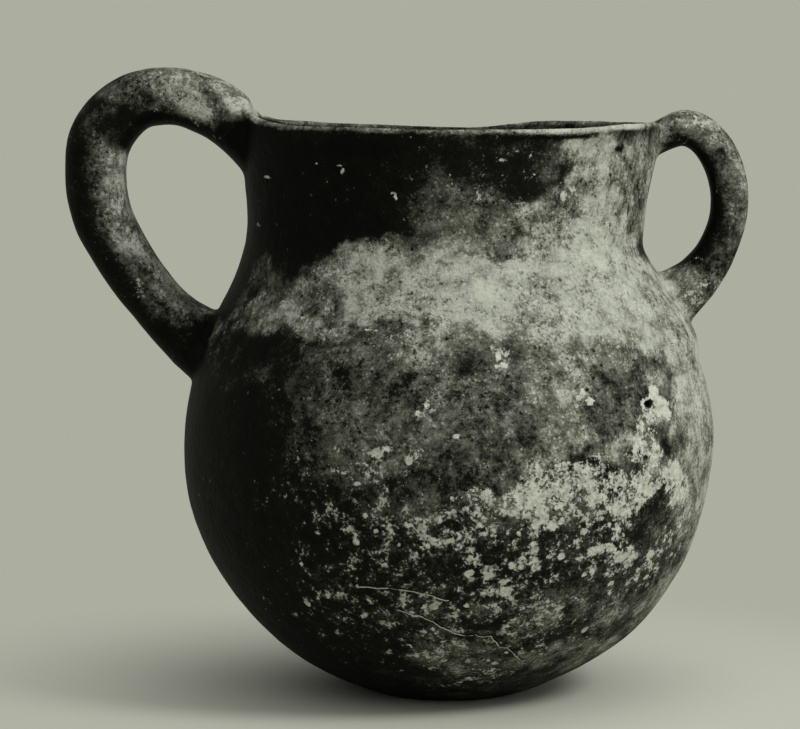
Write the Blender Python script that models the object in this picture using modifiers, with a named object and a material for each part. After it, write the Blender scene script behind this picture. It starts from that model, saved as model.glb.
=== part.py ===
"""A round-bodied, hand-built pottery jar with a wide mouth and two unequal loop handles.

The wall is a bowl-shaped base with six bands of clay joined one on the other along bevelled seams.
Each handle is a rolled coil of clay. Its lower end is pushed through the wall as a tenon, and a
collar of soft clay is smeared round each end. Metres, +Z up, resting face at the origin.
"""

import math

import bmesh
import bpy
from mathutils import Matrix, Vector

MM = 0.001

# The clearance that separates every piece of clay from its neighbour
GAP = 0.3 * MM

# Outside of the wall, from the resting face up, each stretch measured from the one below it
FOOT_RADIUS = 30.0 * MM
BELLY_RADIUS = 110.5 * MM
BELLY_HEIGHT = 106.6 * MM
SHOULDER_RISE = 59.4 * MM
SHOULDER_DRAW_IN = 17.9 * MM
THROAT_RISE = 32.0 * MM
THROAT_DRAW_IN = 9.2 * MM
NECK_LENGTH = 40.0 * MM
RIM_FLARE = 3.6 * MM

# How sharply the shoulder turns away from the belly, and how much the rim leans out
SHOULDER_TURN = 1.85
RIM_LEAN = 0.16

# The places where the curve of the wall changes
SHOULDER_RADIUS = BELLY_RADIUS - SHOULDER_DRAW_IN
SHOULDER_HEIGHT = BELLY_HEIGHT + SHOULDER_RISE
THROAT_RADIUS = SHOULDER_RADIUS - THROAT_DRAW_IN
THROAT_HEIGHT = SHOULDER_HEIGHT + THROAT_RISE
RIM_RADIUS = THROAT_RADIUS + RIM_FLARE
RIM_HEIGHT = THROAT_HEIGHT + NECK_LENGTH

# Thickness of the wall
FLOOR_THICKNESS = 9.0 * MM
BELLY_WALL = 5.6 * MM
THROAT_WALL = 5.0 * MM
LIP_WALL = 3.8 * MM

# Large handle: thickness is seen from the front, width runs round the pot
LARGE_THICKNESS = 25.0 * MM
LARGE_WIDTH = 31.0 * MM
LARGE_REACH_PAST_BELLY = 50.1 * MM
LARGE_RISE_OVER_RIM = 24.4 * MM
LARGE_JOIN_UNDER_RIM = 12.0 * MM
LARGE_ROOT_UNDER_SHOULDER = 23.3 * MM
LARGE_TENON_RADIUS = 7.5 * MM
LARGE_ENTRY_ANGLE = math.radians(45)
LARGE_LIFT = 0.55

# Small handle
SMALL_THICKNESS = 15.8 * MM
SMALL_WIDTH = 19.0 * MM
SMALL_REACH_PAST_BELLY = 14.5 * MM
SMALL_RISE_OVER_RIM = 5.8 * MM
SMALL_JOIN_UNDER_RIM = 10.5 * MM
SMALL_ROOT_UNDER_SHOULDER = 0.5 * MM
SMALL_TENON_RADIUS = 4.8 * MM
SMALL_ENTRY_ANGLE = math.radians(46)
SMALL_LIFT = 0.35

# Where the handles reach to, and where they join the wall
LARGE_REACH = BELLY_RADIUS + LARGE_REACH_PAST_BELLY
LARGE_TOP = RIM_HEIGHT + LARGE_RISE_OVER_RIM
LARGE_TOP_ROOT = RIM_HEIGHT - LARGE_JOIN_UNDER_RIM
LARGE_LOWER_ROOT = SHOULDER_HEIGHT - LARGE_ROOT_UNDER_SHOULDER
SMALL_REACH = BELLY_RADIUS + SMALL_REACH_PAST_BELLY
SMALL_TOP = RIM_HEIGHT + SMALL_RISE_OVER_RIM
SMALL_TOP_ROOT = RIM_HEIGHT - SMALL_JOIN_UNDER_RIM
SMALL_LOWER_ROOT = SHOULDER_HEIGHT - SMALL_ROOT_UNDER_SHOULDER

# Places of the seams between the bands, on the outside, and how much each climbs on its way in
BASE_DEPTH = 36.0 * MM
LOWER_SEAM_UNDER_BELLY = 32.6 * MM
BELLY_SEAM_OVER_BELLY = 12.4 * MM
SHOULDER_SEAM_UNDER_THROAT = 17.0 * MM
RIM_BAND_HEIGHT = 26.0 * MM
SEAM_CLIMB = 2.5 * MM

# Heights of the seams: the upper one lies between the tenons, so each passes through one band only
BASE_SEAM = BASE_DEPTH
LOWER_SEAM = BELLY_HEIGHT - LOWER_SEAM_UNDER_BELLY
BELLY_SEAM = BELLY_HEIGHT + BELLY_SEAM_OVER_BELLY
UPPER_SEAM = (LARGE_LOWER_ROOT + SMALL_LOWER_ROOT - SEAM_CLIMB) / 2
SHOULDER_SEAM = THROAT_HEIGHT - SHOULDER_SEAM_UNDER_THROAT
NECK_SEAM = RIM_HEIGHT - RIM_BAND_HEIGHT

# Collars of clay round the handle ends: how far each stands out past the handle, and off the wall
LARGE_COLLAR = 6.0 * MM
LARGE_COLLAR_RISE = 10.5 * MM
LARGE_COLLAR_SPREAD = 2.8
SMALL_COLLAR = 4.5 * MM
SMALL_COLLAR_RISE = 7.0 * MM

# How finely the round shapes are divided
TURN_STEPS = 48
BAND_STEPS = 4
BASE_STEPS = 7
CUTTER_STEPS = 24
CURVE_STEPS = 5
ROUND_STEPS = 2

LARGE_SIDE = -1
SMALL_SIDE = 1

# How the middle line of a handle swings, as shares of its spans
CIRCLE_ARM = 0.55
TOP_ARM = 0.34
SIDE_ARM = 0.28
ENTRY_ARM = 0.4
WIDEST_SHARE = 0.66
CROWN_SHIFT = 0.6

# How deep a handle's coil and its tenon run past the outside of the wall
COIL_DEPTH = 0.75
TENON_GRIP = 0.45
TENON_DEPTH = BELLY_WALL * 2.4
TENON_SIDES = 20


def clear_scene():
    for old in list(bpy.data.objects):
        bpy.data.objects.remove(old, do_unlink=True)


def make_collection(name, shown=True):
    collection = bpy.data.collections.new(name)
    bpy.context.scene.collection.children.link(collection)
    collection.hide_render = not shown
    return collection


def clay_material(name, colour, roughness):
    """A fired clay surface of one colour, given as linear red, green and blue."""
    material = bpy.data.materials.new(name)
    material.use_nodes = True
    shader = material.node_tree.nodes["Principled BSDF"]
    shader.inputs["Base Color"].default_value = (*colour, 1.0)
    shader.inputs["Roughness"].default_value = roughness
    shader.inputs["Metallic"].default_value = 0.0
    material.diffuse_color = (*colour, 1.0)
    return material


def ease(start, start_slope, end, end_slope, run, share):
    """A cubic from start to end over run, with the slope given at both ends."""
    cube = share**3
    square = share**2
    value = (2 * cube - 3 * square + 1) * start
    value += (cube - 2 * square + share) * run * start_slope
    value += (3 * square - 2 * cube) * end
    value += (cube - square) * run * end_slope
    return value


def outer_radius(height):
    """Radius of the outside of the wall at a height above the resting face."""
    if height <= BELLY_HEIGHT:
        flat = math.sqrt(1 - (FOOT_RADIUS / BELLY_RADIUS) ** 2)
        drop = (BELLY_HEIGHT - height) / BELLY_HEIGHT * flat
        return BELLY_RADIUS * math.sqrt(max(0.0, 1 - drop**2))
    rise = SHOULDER_HEIGHT - BELLY_HEIGHT
    if height <= SHOULDER_HEIGHT:
        share = (height - BELLY_HEIGHT) / rise
        return BELLY_RADIUS - (BELLY_RADIUS - SHOULDER_RADIUS) * share**SHOULDER_TURN
    if height <= THROAT_HEIGHT:
        slope = -(BELLY_RADIUS - SHOULDER_RADIUS) * SHOULDER_TURN / rise
        run = THROAT_HEIGHT - SHOULDER_HEIGHT
        share = (height - SHOULDER_HEIGHT) / run
        return ease(SHOULDER_RADIUS, slope, THROAT_RADIUS, 0.0, run, share)
    run = RIM_HEIGHT - THROAT_HEIGHT
    share = min(1.0, (height - THROAT_HEIGHT) / run)
    return ease(THROAT_RADIUS, 0.0, RIM_RADIUS, RIM_LEAN, run, share)


def wall_thickness(height):
    """Thickness of the wall from the belly up to the lip."""
    if height <= THROAT_HEIGHT:
        share = (height - BELLY_HEIGHT) / (THROAT_HEIGHT - BELLY_HEIGHT)
        return BELLY_WALL + (THROAT_WALL - BELLY_WALL) * max(0.0, share)
    share = (height - THROAT_HEIGHT) / (RIM_HEIGHT - THROAT_HEIGHT)
    return THROAT_WALL + (LIP_WALL - THROAT_WALL) * min(1.0, share)


def inner_radius(height):
    """Radius of the inside of the wall, which is a bowl of its own below the belly."""
    if height <= BELLY_HEIGHT:
        drop = (BELLY_HEIGHT - height) / (BELLY_HEIGHT - FLOOR_THICKNESS)
        return (BELLY_RADIUS - BELLY_WALL) * math.sqrt(max(0.0, 1 - drop**2))
    return outer_radius(height) - wall_thickness(height)


def outward_tilt(height):
    """Angle of the wall's outward direction above the horizontal."""
    step = 0.5 * MM
    fall = outer_radius(height - step) - outer_radius(height + step)
    return math.atan2(fall, 2 * step)


def heights_between(low, high, steps):
    return [low + (high - low) * i / steps for i in range(steps + 1)]


def turned_object(name, profile, closed, collection):
    """A solid of revolution round the Z axis from (radius, height) points at +X."""
    mesh = bpy.data.meshes.new(name)
    body = bpy.data.objects.new(name, mesh)
    collection.objects.link(body)
    outline = bmesh.new()
    corners = [outline.verts.new((radius, 0.0, height)) for radius, height in profile]
    for first, second in zip(corners, corners[1:]):
        outline.edges.new((first, second))
    if closed:
        outline.edges.new((corners[-1], corners[0]))
    outline.to_mesh(mesh)
    outline.free()
    screw = body.modifiers.new("Turn", "SCREW")
    screw.axis = "Z"
    screw.steps = TURN_STEPS
    screw.render_steps = TURN_STEPS
    screw.use_merge_vertices = True
    screw.merge_threshold = 0.01 * MM
    screw.use_smooth_shade = True
    return body


def seam_heights(height):
    """Outside and inside heights of a seam, which climbs inwards."""
    return height, height + SEAM_CLIMB


def band(name, low_seam, high_seam, collection, round_lip=False):
    """One band of the wall, from just above the seam below it to just under the one above."""
    low_out, low_in = seam_heights(low_seam + GAP / 2)
    if round_lip:
        high_out = RIM_HEIGHT - LIP_WALL / 2
        high_in = high_out
    else:
        high_out, high_in = seam_heights(high_seam - GAP / 2)
    outside = [(outer_radius(h), h) for h in heights_between(high_out, low_out, BAND_STEPS)]
    inside = [(inner_radius(h), h) for h in heights_between(low_in, high_in, BAND_STEPS)]
    lip = []
    if round_lip:
        middle = (outer_radius(high_out) + inner_radius(high_out)) / 2
        half = (outer_radius(high_out) - inner_radius(high_out)) / 2
        for turn in (0.75, 0.5, 0.25):
            angle = math.pi * turn
            lip.append((middle + half * math.cos(angle), high_out + LIP_WALL / 2 * math.sin(angle)))
    return turned_object(name, outside + inside + lip, True, collection)


def base_bowl(collection):
    """The bowl that the wall stands on, flattened underneath where it rests."""
    top_out, top_in = seam_heights(BASE_SEAM - GAP / 2)
    inside = []
    for step in range(BASE_STEPS + 1):
        # Equal turns of the bowl keep its middle as smooth as its side
        share = math.sin(math.pi / 2 * step / BASE_STEPS)
        radius = inner_radius(top_in) * share
        drop = math.sqrt(1 - (radius / (BELLY_RADIUS - BELLY_WALL)) ** 2)
        height = BELLY_HEIGHT - (BELLY_HEIGHT - FLOOR_THICKNESS) * drop
        inside.append((radius, height))
    outside = [(outer_radius(h), h) for h in heights_between(top_out, 0.0, BASE_STEPS)]
    return turned_object("base_bowl", inside + outside + [(0.0, 0.0)], False, collection)


def body_cutter(name, top, collection):
    """The filled outer shape of the pot with its clearance, up to a height."""
    heights = heights_between(top, 0.0, CUTTER_STEPS)
    side = [(outer_radius(h) + GAP * 1.5, h) for h in heights]
    profile = [(0.0, top)] + side + [(0.0, 0.0)]
    return turned_object(name, profile, False, collection)


def neck_wall_cutter(collection):
    """The wall of the neck alone, with clearance inside, outside and over the lip."""
    bottom = SHOULDER_SEAM
    heights = heights_between(RIM_HEIGHT + GAP, bottom, CUTTER_STEPS)
    outside = [(outer_radius(h) + GAP * 1.5, h) for h in heights]
    inside = [(inner_radius(h) - GAP * 1.5, h) for h in reversed(heights)]
    return turned_object("neck_wall_cutter", outside + inside, True, collection)


def cavity_cutter(collection):
    """The hollow inside the pot, which trims what is pushed through the wall."""
    heights = heights_between(THROAT_HEIGHT, FLOOR_THICKNESS, CUTTER_STEPS)
    side = [(inner_radius(h), h) for h in heights]
    return turned_object("cavity_cutter", [(0.0, THROAT_HEIGHT)] + side, False, collection)


class HandlePath:
    """The middle line of one handle, as Bezier points in the plane through the pot's axis."""

    def __init__(
        self, side, thickness, reach, top, top_root, lower_root, entry_angle, over_lip, lift
    ):
        self.side = side
        self.thickness = thickness
        self.entry = Vector((-math.cos(entry_angle), 0.0, -math.sin(entry_angle)))
        widest = reach - thickness / 2
        crown_height = top - thickness / 2
        start_radius = outer_radius(top_root) - over_lip
        crown_radius = (start_radius + widest) / 2 + over_lip * CROWN_SHIFT
        middle_height = lower_root + (crown_height - lower_root) * WIDEST_SHARE
        self.root = Vector((outer_radius(lower_root), 0.0, lower_root))
        deep = self.root + self.entry * thickness * COIL_DEPTH
        rise = crown_height - top_root
        drop = crown_height - middle_height
        fall = middle_height - lower_root
        span = crown_radius - start_radius
        swing = widest - crown_radius
        arm = span * TOP_ARM
        self.start_slope = math.atan2(rise * lift, arm)
        self.points = [
            ((start_radius, top_root), (0.0, 0.0), (arm, rise * lift)),
            ((crown_radius, crown_height), (-arm, 0.0), (swing * CIRCLE_ARM, 0.0)),
            ((widest, middle_height), (0.0, drop * CIRCLE_ARM), (0.0, -fall * SIDE_ARM)),
        ]
        back = -self.entry * fall * ENTRY_ARM
        self.points.append(((self.root.x, self.root.z), (back.x, back.z), (0.0, 0.0)))
        self.points.append(((deep.x, deep.z), (0.0, 0.0), (0.0, 0.0)))

    def fill(self, spline):
        """Writes the middle line to a Bezier spline."""
        spline.bezier_points.add(len(self.points) - 1)
        for target, (point, before, after) in zip(spline.bezier_points, self.points):
            place = Vector((point[0] * self.side, 0.0, point[1]))
            target.handle_left_type = "FREE"
            target.handle_right_type = "FREE"
            target.co = place
            target.handle_left = place + Vector((before[0] * self.side, 0.0, before[1]))
            target.handle_right = place + Vector((after[0] * self.side, 0.0, after[1]))

    def place(self, depth):
        """The point on the straight lower end at a depth past the outside of the wall."""
        point = self.root + self.entry * depth
        return Vector((point.x * self.side, 0.0, point.z))


def coil(name, path, width, grow, collection):
    """A rolled coil along a handle's middle line, made a closed mesh."""
    curve = bpy.data.curves.new(name + "_line", "CURVE")
    curve.dimensions = "3D"
    curve.bevel_depth = path.thickness / 2 + grow
    curve.bevel_resolution = ROUND_STEPS
    curve.resolution_u = CURVE_STEPS
    curve.use_fill_caps = True
    path.fill(curve.splines.new("BEZIER"))
    line = bpy.data.objects.new(name + "_line", curve)
    collection.objects.link(line)
    bpy.context.view_layer.update()
    graph = bpy.context.evaluated_depsgraph_get()
    mesh = bpy.data.meshes.new_from_object(line.evaluated_get(graph))
    mesh.name = name
    # The line lies in the XZ plane, so a stretch along Y alone makes the coil's section oval
    stretch = (width / 2 + grow) / (path.thickness / 2 + grow)
    mesh.transform(Matrix.Diagonal((1.0, stretch, 1.0, 1.0)))
    welded = bmesh.new()
    welded.from_mesh(mesh)
    bmesh.ops.remove_doubles(welded, verts=welded.verts, dist=0.001 * MM)
    bmesh.ops.recalc_face_normals(welded, faces=welded.faces)
    welded.to_mesh(mesh)
    welded.free()
    mesh.shade_smooth()
    body = bpy.data.objects.new(name, mesh)
    body.matrix_world = line.matrix_world
    collection.objects.link(body)
    bpy.data.objects.remove(line, do_unlink=True)
    return body


def tenon(name, path, radius, collection):
    """A round peg along the handle's lower end, from inside the handle to inside the pot."""
    outside = -path.thickness * TENON_GRIP
    inside = TENON_DEPTH
    mesh = bpy.data.meshes.new(name)
    peg = bmesh.new()
    bmesh.ops.create_cone(
        peg,
        cap_ends=True,
        segments=TENON_SIDES,
        radius1=radius,
        radius2=radius,
        depth=inside - outside,
    )
    peg.to_mesh(mesh)
    peg.free()
    body = bpy.data.objects.new(name, mesh)
    direction = path.place(1.0) - path.place(0.0)
    body.rotation_mode = "QUATERNION"
    body.rotation_quaternion = direction.to_track_quat("Z", "Y")
    body.location = path.place((inside + outside) / 2)
    collection.objects.link(body)
    return body


def collar(name, centre, radii, tilt, collection):
    """A flattened ball of clay, tilted to lie on the wall."""
    mesh = bpy.data.meshes.new(name)
    ball = bmesh.new()
    bmesh.ops.create_uvsphere(ball, u_segments=20, v_segments=12, radius=1.0)
    ball.to_mesh(mesh)
    ball.free()
    mesh.transform(Matrix.Diagonal((*radii, 1.0)))
    mesh.transform(Matrix.Rotation(tilt, 4, "Y"))
    mesh.shade_smooth()
    body = bpy.data.objects.new(name, mesh)
    body.location = centre
    collection.objects.link(body)
    return body


def combine(body, other, operation):
    """Adds a live Boolean to a piece."""
    modifier = body.modifiers.new(operation.title() + "_" + other.name, "BOOLEAN")
    modifier.operation = operation
    modifier.object = other
    modifier.solver = "EXACT"


def as_cutter(body):
    body.hide_render = True
    body.display_type = "WIRE"
    return body


def wall_pieces(pot):
    """The base and the six bands, from the bottom up."""
    return {
        "base_bowl": base_bowl(pot),
        "lower_wall_band": band("lower_wall_band", BASE_SEAM, LOWER_SEAM, pot),
        "belly_band": band("belly_band", LOWER_SEAM, BELLY_SEAM, pot),
        "upper_wall_band": band("upper_wall_band", BELLY_SEAM, UPPER_SEAM, pot),
        "shoulder_band": band("shoulder_band", UPPER_SEAM, SHOULDER_SEAM, pot),
        "neck_band": band("neck_band", SHOULDER_SEAM, NECK_SEAM, pot),
        "rim_band": band("rim_band", NECK_SEAM, RIM_HEIGHT, pot, round_lip=True),
    }


def handle(size, path, width, tenon_radius, carrier, pot, cutters, neck_cutter):
    """A handle with its tenon, and the hole for it in the band that carries it."""
    body = coil(size + "_handle", path, width, 0.0, pot)
    combine(body, neck_cutter, "DIFFERENCE")
    combine(body, cutters["body"], "DIFFERENCE")
    peg = as_cutter(tenon(size + "_tenon_shape", path, tenon_radius, cutters["collection"]))
    combine(peg, cutters["cavity"], "DIFFERENCE")
    combine(body, peg, "UNION")
    hole = as_cutter(tenon(size + "_tenon_hole", path, tenon_radius + GAP, cutters["collection"]))
    combine(carrier, hole, "DIFFERENCE")
    return body


def lower_collar(size, path, width, stand_out, rise, cutters, pot):
    """The clay smeared round a handle where it enters the wall."""
    lean = outward_tilt(path.root.z)
    tilt = -lean * path.side
    # The coil meets the wall askew, so its print on the wall is longer than it is thick
    skew = math.atan2(-path.entry.z, -path.entry.x) - lean
    half = path.thickness / 2 / math.cos(skew) + stand_out
    radii = (rise, width / 2 + stand_out, half)
    piece = collar(size + "_handle_lower_luting", path.place(0.0), radii, tilt, pot)
    combine(piece, cutters[size + "_coil"], "DIFFERENCE")
    combine(piece, cutters["body"], "DIFFERENCE")
    return piece


def top_collar(size, path, height, radii, neck_cutter, cutters, pot):
    """The clay smeared round a handle where it joins the rim, square to the handle."""
    centre = Vector((outer_radius(height) * path.side, 0.0, height))
    tilt = -path.start_slope * path.side
    piece = collar(size + "_handle_top_luting", centre, radii, tilt, pot)
    combine(piece, cutters[size + "_coil"], "DIFFERENCE")
    combine(piece, neck_cutter, "DIFFERENCE")
    return piece


def paint(pieces):
    """Gives each piece its own clay, from the tones that the pot shows."""
    finishes = {
        "base_bowl": ((0.060, 0.056, 0.040), 0.55),
        "lower_wall_band": ((0.150, 0.142, 0.108), 0.60),
        "belly_band": ((0.110, 0.104, 0.080), 0.48),
        "upper_wall_band": ((0.120, 0.115, 0.090), 0.48),
        "shoulder_band": ((0.300, 0.295, 0.240), 0.55),
        "neck_band": ((0.070, 0.068, 0.052), 0.45),
        "rim_band": ((0.090, 0.088, 0.068), 0.50),
        "large_handle": ((0.140, 0.135, 0.105), 0.50),
        "small_handle": ((0.110, 0.107, 0.082), 0.50),
        "large_handle_top_luting": ((0.220, 0.215, 0.170), 0.55),
        "large_handle_lower_luting": ((0.090, 0.087, 0.066), 0.55),
        "small_handle_top_luting": ((0.130, 0.127, 0.100), 0.55),
        "small_handle_lower_luting": ((0.210, 0.205, 0.162), 0.55),
    }
    for name, (colour, roughness) in finishes.items():
        pieces[name].data.materials.append(clay_material(name + "_clay", colour, roughness))


def main():
    clear_scene()
    pot = make_collection("two_handled_pot")
    spare = make_collection("cutters", shown=False)
    pieces = wall_pieces(pot)
    large_path = HandlePath(
        LARGE_SIDE,
        LARGE_THICKNESS,
        LARGE_REACH,
        LARGE_TOP,
        LARGE_TOP_ROOT,
        LARGE_LOWER_ROOT,
        LARGE_ENTRY_ANGLE,
        LARGE_THICKNESS / 2,
        LARGE_LIFT,
    )
    small_path = HandlePath(
        SMALL_SIDE,
        SMALL_THICKNESS,
        SMALL_REACH,
        SMALL_TOP,
        SMALL_TOP_ROOT,
        SMALL_LOWER_ROOT,
        SMALL_ENTRY_ANGLE,
        BELLY_WALL,
        SMALL_LIFT,
    )
    cutters = {
        "collection": spare,
        "body": as_cutter(body_cutter("body_cutter", THROAT_HEIGHT, spare)),
        "cavity": as_cutter(cavity_cutter(spare)),
        "large_coil": as_cutter(coil("large_coil_clearance", large_path, LARGE_WIDTH, GAP, spare)),
        "small_coil": as_cutter(coil("small_coil_clearance", small_path, SMALL_WIDTH, GAP, spare)),
    }
    neck_wall = as_cutter(neck_wall_cutter(spare))
    whole_body = as_cutter(body_cutter("whole_body_cutter", RIM_HEIGHT + GAP, spare))
    pieces["large_handle"] = handle(
        "large",
        large_path,
        LARGE_WIDTH,
        LARGE_TENON_RADIUS,
        pieces["upper_wall_band"],
        pot,
        cutters,
        neck_wall,
    )
    pieces["small_handle"] = handle(
        "small",
        small_path,
        SMALL_WIDTH,
        SMALL_TENON_RADIUS,
        pieces["shoulder_band"],
        pot,
        cutters,
        whole_body,
    )
    pieces["large_handle_lower_luting"] = lower_collar(
        "large", large_path, LARGE_WIDTH, LARGE_COLLAR, LARGE_COLLAR_RISE, cutters, pot
    )
    pieces["small_handle_lower_luting"] = lower_collar(
        "small", small_path, SMALL_WIDTH, SMALL_COLLAR, SMALL_COLLAR_RISE, cutters, pot
    )
    large_radii = (
        LARGE_COLLAR_RISE,
        LARGE_WIDTH / 2 + LARGE_COLLAR * LARGE_COLLAR_SPREAD,
        LARGE_THICKNESS / 2 + LARGE_COLLAR / 2,
    )
    pieces["large_handle_top_luting"] = top_collar(
        "large", large_path, RIM_HEIGHT - LARGE_COLLAR, large_radii, neck_wall, cutters, pot
    )
    small_radii = (
        SMALL_COLLAR_RISE,
        SMALL_WIDTH / 2 + SMALL_COLLAR,
        SMALL_THICKNESS / 2 + SMALL_COLLAR / 2,
    )
    pieces["small_handle_top_luting"] = top_collar(
        "small", small_path, SMALL_TOP_ROOT - SMALL_COLLAR / 2, small_radii, whole_body, cutters, pot
    )
    paint(pieces)


main()
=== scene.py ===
"""A hand-built pottery jar, burnished and blackened by smoke, with two unequal loop handles.

The wall is raised ring by ring, the handles are drawn out as coils, and both are worked into one
skin of clay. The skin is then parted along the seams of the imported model, one piece for each node,
and dressed with the slip, the smoke and the lime crust that the old jar shows.
"""

import logging
import math
from dataclasses import dataclass
from enum import Enum

import bmesh
import bpy
import numpy as np
from mathutils import Matrix, Vector, noise

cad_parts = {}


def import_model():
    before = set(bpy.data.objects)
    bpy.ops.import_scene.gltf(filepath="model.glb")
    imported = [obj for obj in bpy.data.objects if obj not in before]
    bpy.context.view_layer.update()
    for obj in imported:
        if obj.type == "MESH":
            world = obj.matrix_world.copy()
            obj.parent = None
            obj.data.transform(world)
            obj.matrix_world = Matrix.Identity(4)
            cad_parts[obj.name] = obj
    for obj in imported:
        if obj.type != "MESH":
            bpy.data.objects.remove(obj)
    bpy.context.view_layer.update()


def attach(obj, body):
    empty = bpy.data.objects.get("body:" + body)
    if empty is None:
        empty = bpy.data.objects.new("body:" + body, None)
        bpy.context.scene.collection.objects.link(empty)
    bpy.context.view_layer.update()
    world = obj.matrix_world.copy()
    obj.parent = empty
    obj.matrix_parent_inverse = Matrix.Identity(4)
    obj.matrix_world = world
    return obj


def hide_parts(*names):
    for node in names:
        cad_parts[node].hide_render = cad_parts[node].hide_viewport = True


MM = 0.001
BODY = "root"

log = logging.getLogger("jar")


class Slot(Enum):
    """The material slots."""

    BASE = "base_clay"
    WALL = "wall_clay"
    NECK = "neck_clay"
    HANDLE = "handle_clay"


class Side(Enum):
    """The two sides of the jar that carry a handle, as the sign of X."""

    LARGE = -1
    SMALL = 1


# Working with Blender's own tools


def deselect_all() -> None:
    """Leaves nothing selected, because an operator acts on all that is."""
    bpy.ops.object.select_all(action="DESELECT")


def take_up(piece: bpy.types.Object) -> None:
    """Makes one object the only selected and the active one.

    Args:
        piece: the object to work on.
    """
    deselect_all()
    piece.select_set(True)
    bpy.context.view_layer.objects.active = piece


def apply_modifier(piece: bpy.types.Object, kind: str, **settings: object) -> None:
    """Adds a modifier with its settings and applies it at once.

    Args:
        piece: the object to change.
        kind: Blender's name for the kind of modifier.
        settings: the modifier's own settings.
    """
    take_up(piece)
    step = piece.modifiers.new(kind.lower(), kind)
    for name, value in settings.items():
        setattr(step, name, value)
    bpy.ops.object.modifier_apply(modifier=step.name)


def discard(piece: bpy.types.Object) -> None:
    """Removes an object and its mesh."""
    mesh = piece.data
    bpy.data.objects.remove(piece)
    bpy.data.meshes.remove(mesh)


def copy_of(piece: bpy.types.Object, name: str) -> bpy.types.Object:
    """Copies an object with a mesh of its own.

    Args:
        piece: the object to copy.
        name: the copy's name.

    Returns:
        The copy, linked to the scene.
    """
    twin = piece.copy()
    twin.data = piece.data.copy()
    twin.name = name
    bpy.context.scene.collection.objects.link(twin)
    return twin


def points_of(piece: bpy.types.Object) -> np.ndarray:
    """Reads the vertices of an object as rows of X, Y and Z."""
    flat = np.empty(len(piece.data.vertices) * 3)
    piece.data.vertices.foreach_get("co", flat)
    return flat.reshape(-1, 3)


def normals_of(piece: bpy.types.Object) -> np.ndarray:
    """Reads the vertex normals of an object as rows of X, Y and Z."""
    flat = np.empty(len(piece.data.vertices) * 3)
    piece.data.vertices.foreach_get("normal", flat)
    return flat.reshape(-1, 3)


def move_points(piece: bpy.types.Object, points: np.ndarray) -> None:
    """Writes new places for all vertices of an object.

    Args:
        piece: the object to change.
        points: one row of X, Y and Z for each vertex.
    """
    piece.data.vertices.foreach_set("co", points.ravel())
    piece.data.update()


def weigh(piece: bpy.types.Object, name: str, weights: np.ndarray) -> str:
    """Makes a vertex group with a weight, in steps of a twentieth, for each vertex.

    Args:
        piece: the object that gets the group.
        name: name of the group.
        weights: one weight for each vertex, from 0 to 1.

    Returns:
        The group's name.
    """
    group = piece.vertex_groups.new(name=name)
    levels = np.rint(weights * 20)
    for level in range(1, 21):
        chosen = np.nonzero(levels == level)[0]
        if len(chosen):
            group.add(chosen.tolist(), level / 20, "REPLACE")
    return group.name


def smoothstep(low: float, high: float, value: np.ndarray) -> np.ndarray:
    """Rises smoothly from 0 at low to 1 at high, or falls where low is the larger."""
    share = np.clip((value - low) / (high - low), 0.0, 1.0)
    return share * share * (3.0 - 2.0 * share)


def azimuth_of(points: np.ndarray) -> np.ndarray:
    """The direction of each point round the axis, in degrees: 0 to the front, 90 to +X."""
    return np.degrees(np.arctan2(points[:, 0], -points[:, 1]))


def turn_between(azimuths: np.ndarray, azimuth: float) -> np.ndarray:
    """How far each azimuth is from another one, in degrees from -180 to 180."""
    return (azimuths - azimuth + 180.0) % 360.0 - 180.0


# The wall


@dataclass(frozen=True)
class WallProfile:
    """Outside and inside of the wall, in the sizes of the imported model."""

    foot_radius: float = 30.0 * MM
    belly_radius: float = 110.5 * MM
    belly_height: float = 106.6 * MM
    shoulder_draw_in: float = 17.9 * MM
    shoulder_height: float = 166.0 * MM
    shoulder_turn: float = 1.85
    throat_radius: float = 83.4 * MM
    throat_height: float = 198.0 * MM
    rim_radius: float = 87.0 * MM
    rim_height: float = 238.0 * MM
    rim_lean: float = 0.16
    floor: float = 9.0 * MM
    belly_wall: float = 5.6 * MM
    throat_wall: float = 5.0 * MM
    lip_wall: float = 3.8 * MM

    def outer(self, height: float) -> float:
        """Radius of the outside at a height, in metres."""
        if height <= self.belly_height:
            flat = math.sqrt(1.0 - (self.foot_radius / self.belly_radius) ** 2)
            drop = (self.belly_height - height) / self.belly_height * flat
            return self.belly_radius * math.sqrt(max(0.0, 1.0 - drop * drop))
        shoulder_run = self.shoulder_height - self.belly_height
        if height <= self.shoulder_height:
            share = (height - self.belly_height) / shoulder_run
            return self.belly_radius - self.shoulder_draw_in * share**self.shoulder_turn
        if height <= self.throat_height:
            slope = -self.shoulder_draw_in * self.shoulder_turn / shoulder_run
            start = self.belly_radius - self.shoulder_draw_in
            run = self.throat_height - self.shoulder_height
            share = (height - self.shoulder_height) / run
            return ease(start, slope, self.throat_radius, 0.0, run, share)
        run = self.rim_height - self.throat_height
        share = (height - self.throat_height) / run
        return ease(self.throat_radius, 0.0, self.rim_radius, self.rim_lean, run, share)

    def wall(self, height: float) -> float:
        """Thickness of the wall above the belly, measured level."""
        if height <= self.throat_height:
            run = self.throat_height - self.belly_height
            share = max(0.0, height - self.belly_height) / run
            return self.belly_wall + (self.throat_wall - self.belly_wall) * share
        share = (height - self.throat_height) / (self.rim_height - self.throat_height)
        return self.throat_wall + (self.lip_wall - self.throat_wall) * share

    def inner(self, height: float) -> float:
        """Radius of the inside at a height, in metres."""
        if height <= self.belly_height:
            drop = (self.belly_height - height) / (self.belly_height - self.floor)
            radius = self.belly_radius - self.belly_wall
            return radius * math.sqrt(max(0.0, 1.0 - drop * drop))
        return self.outer(height) - self.wall(height)


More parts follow.
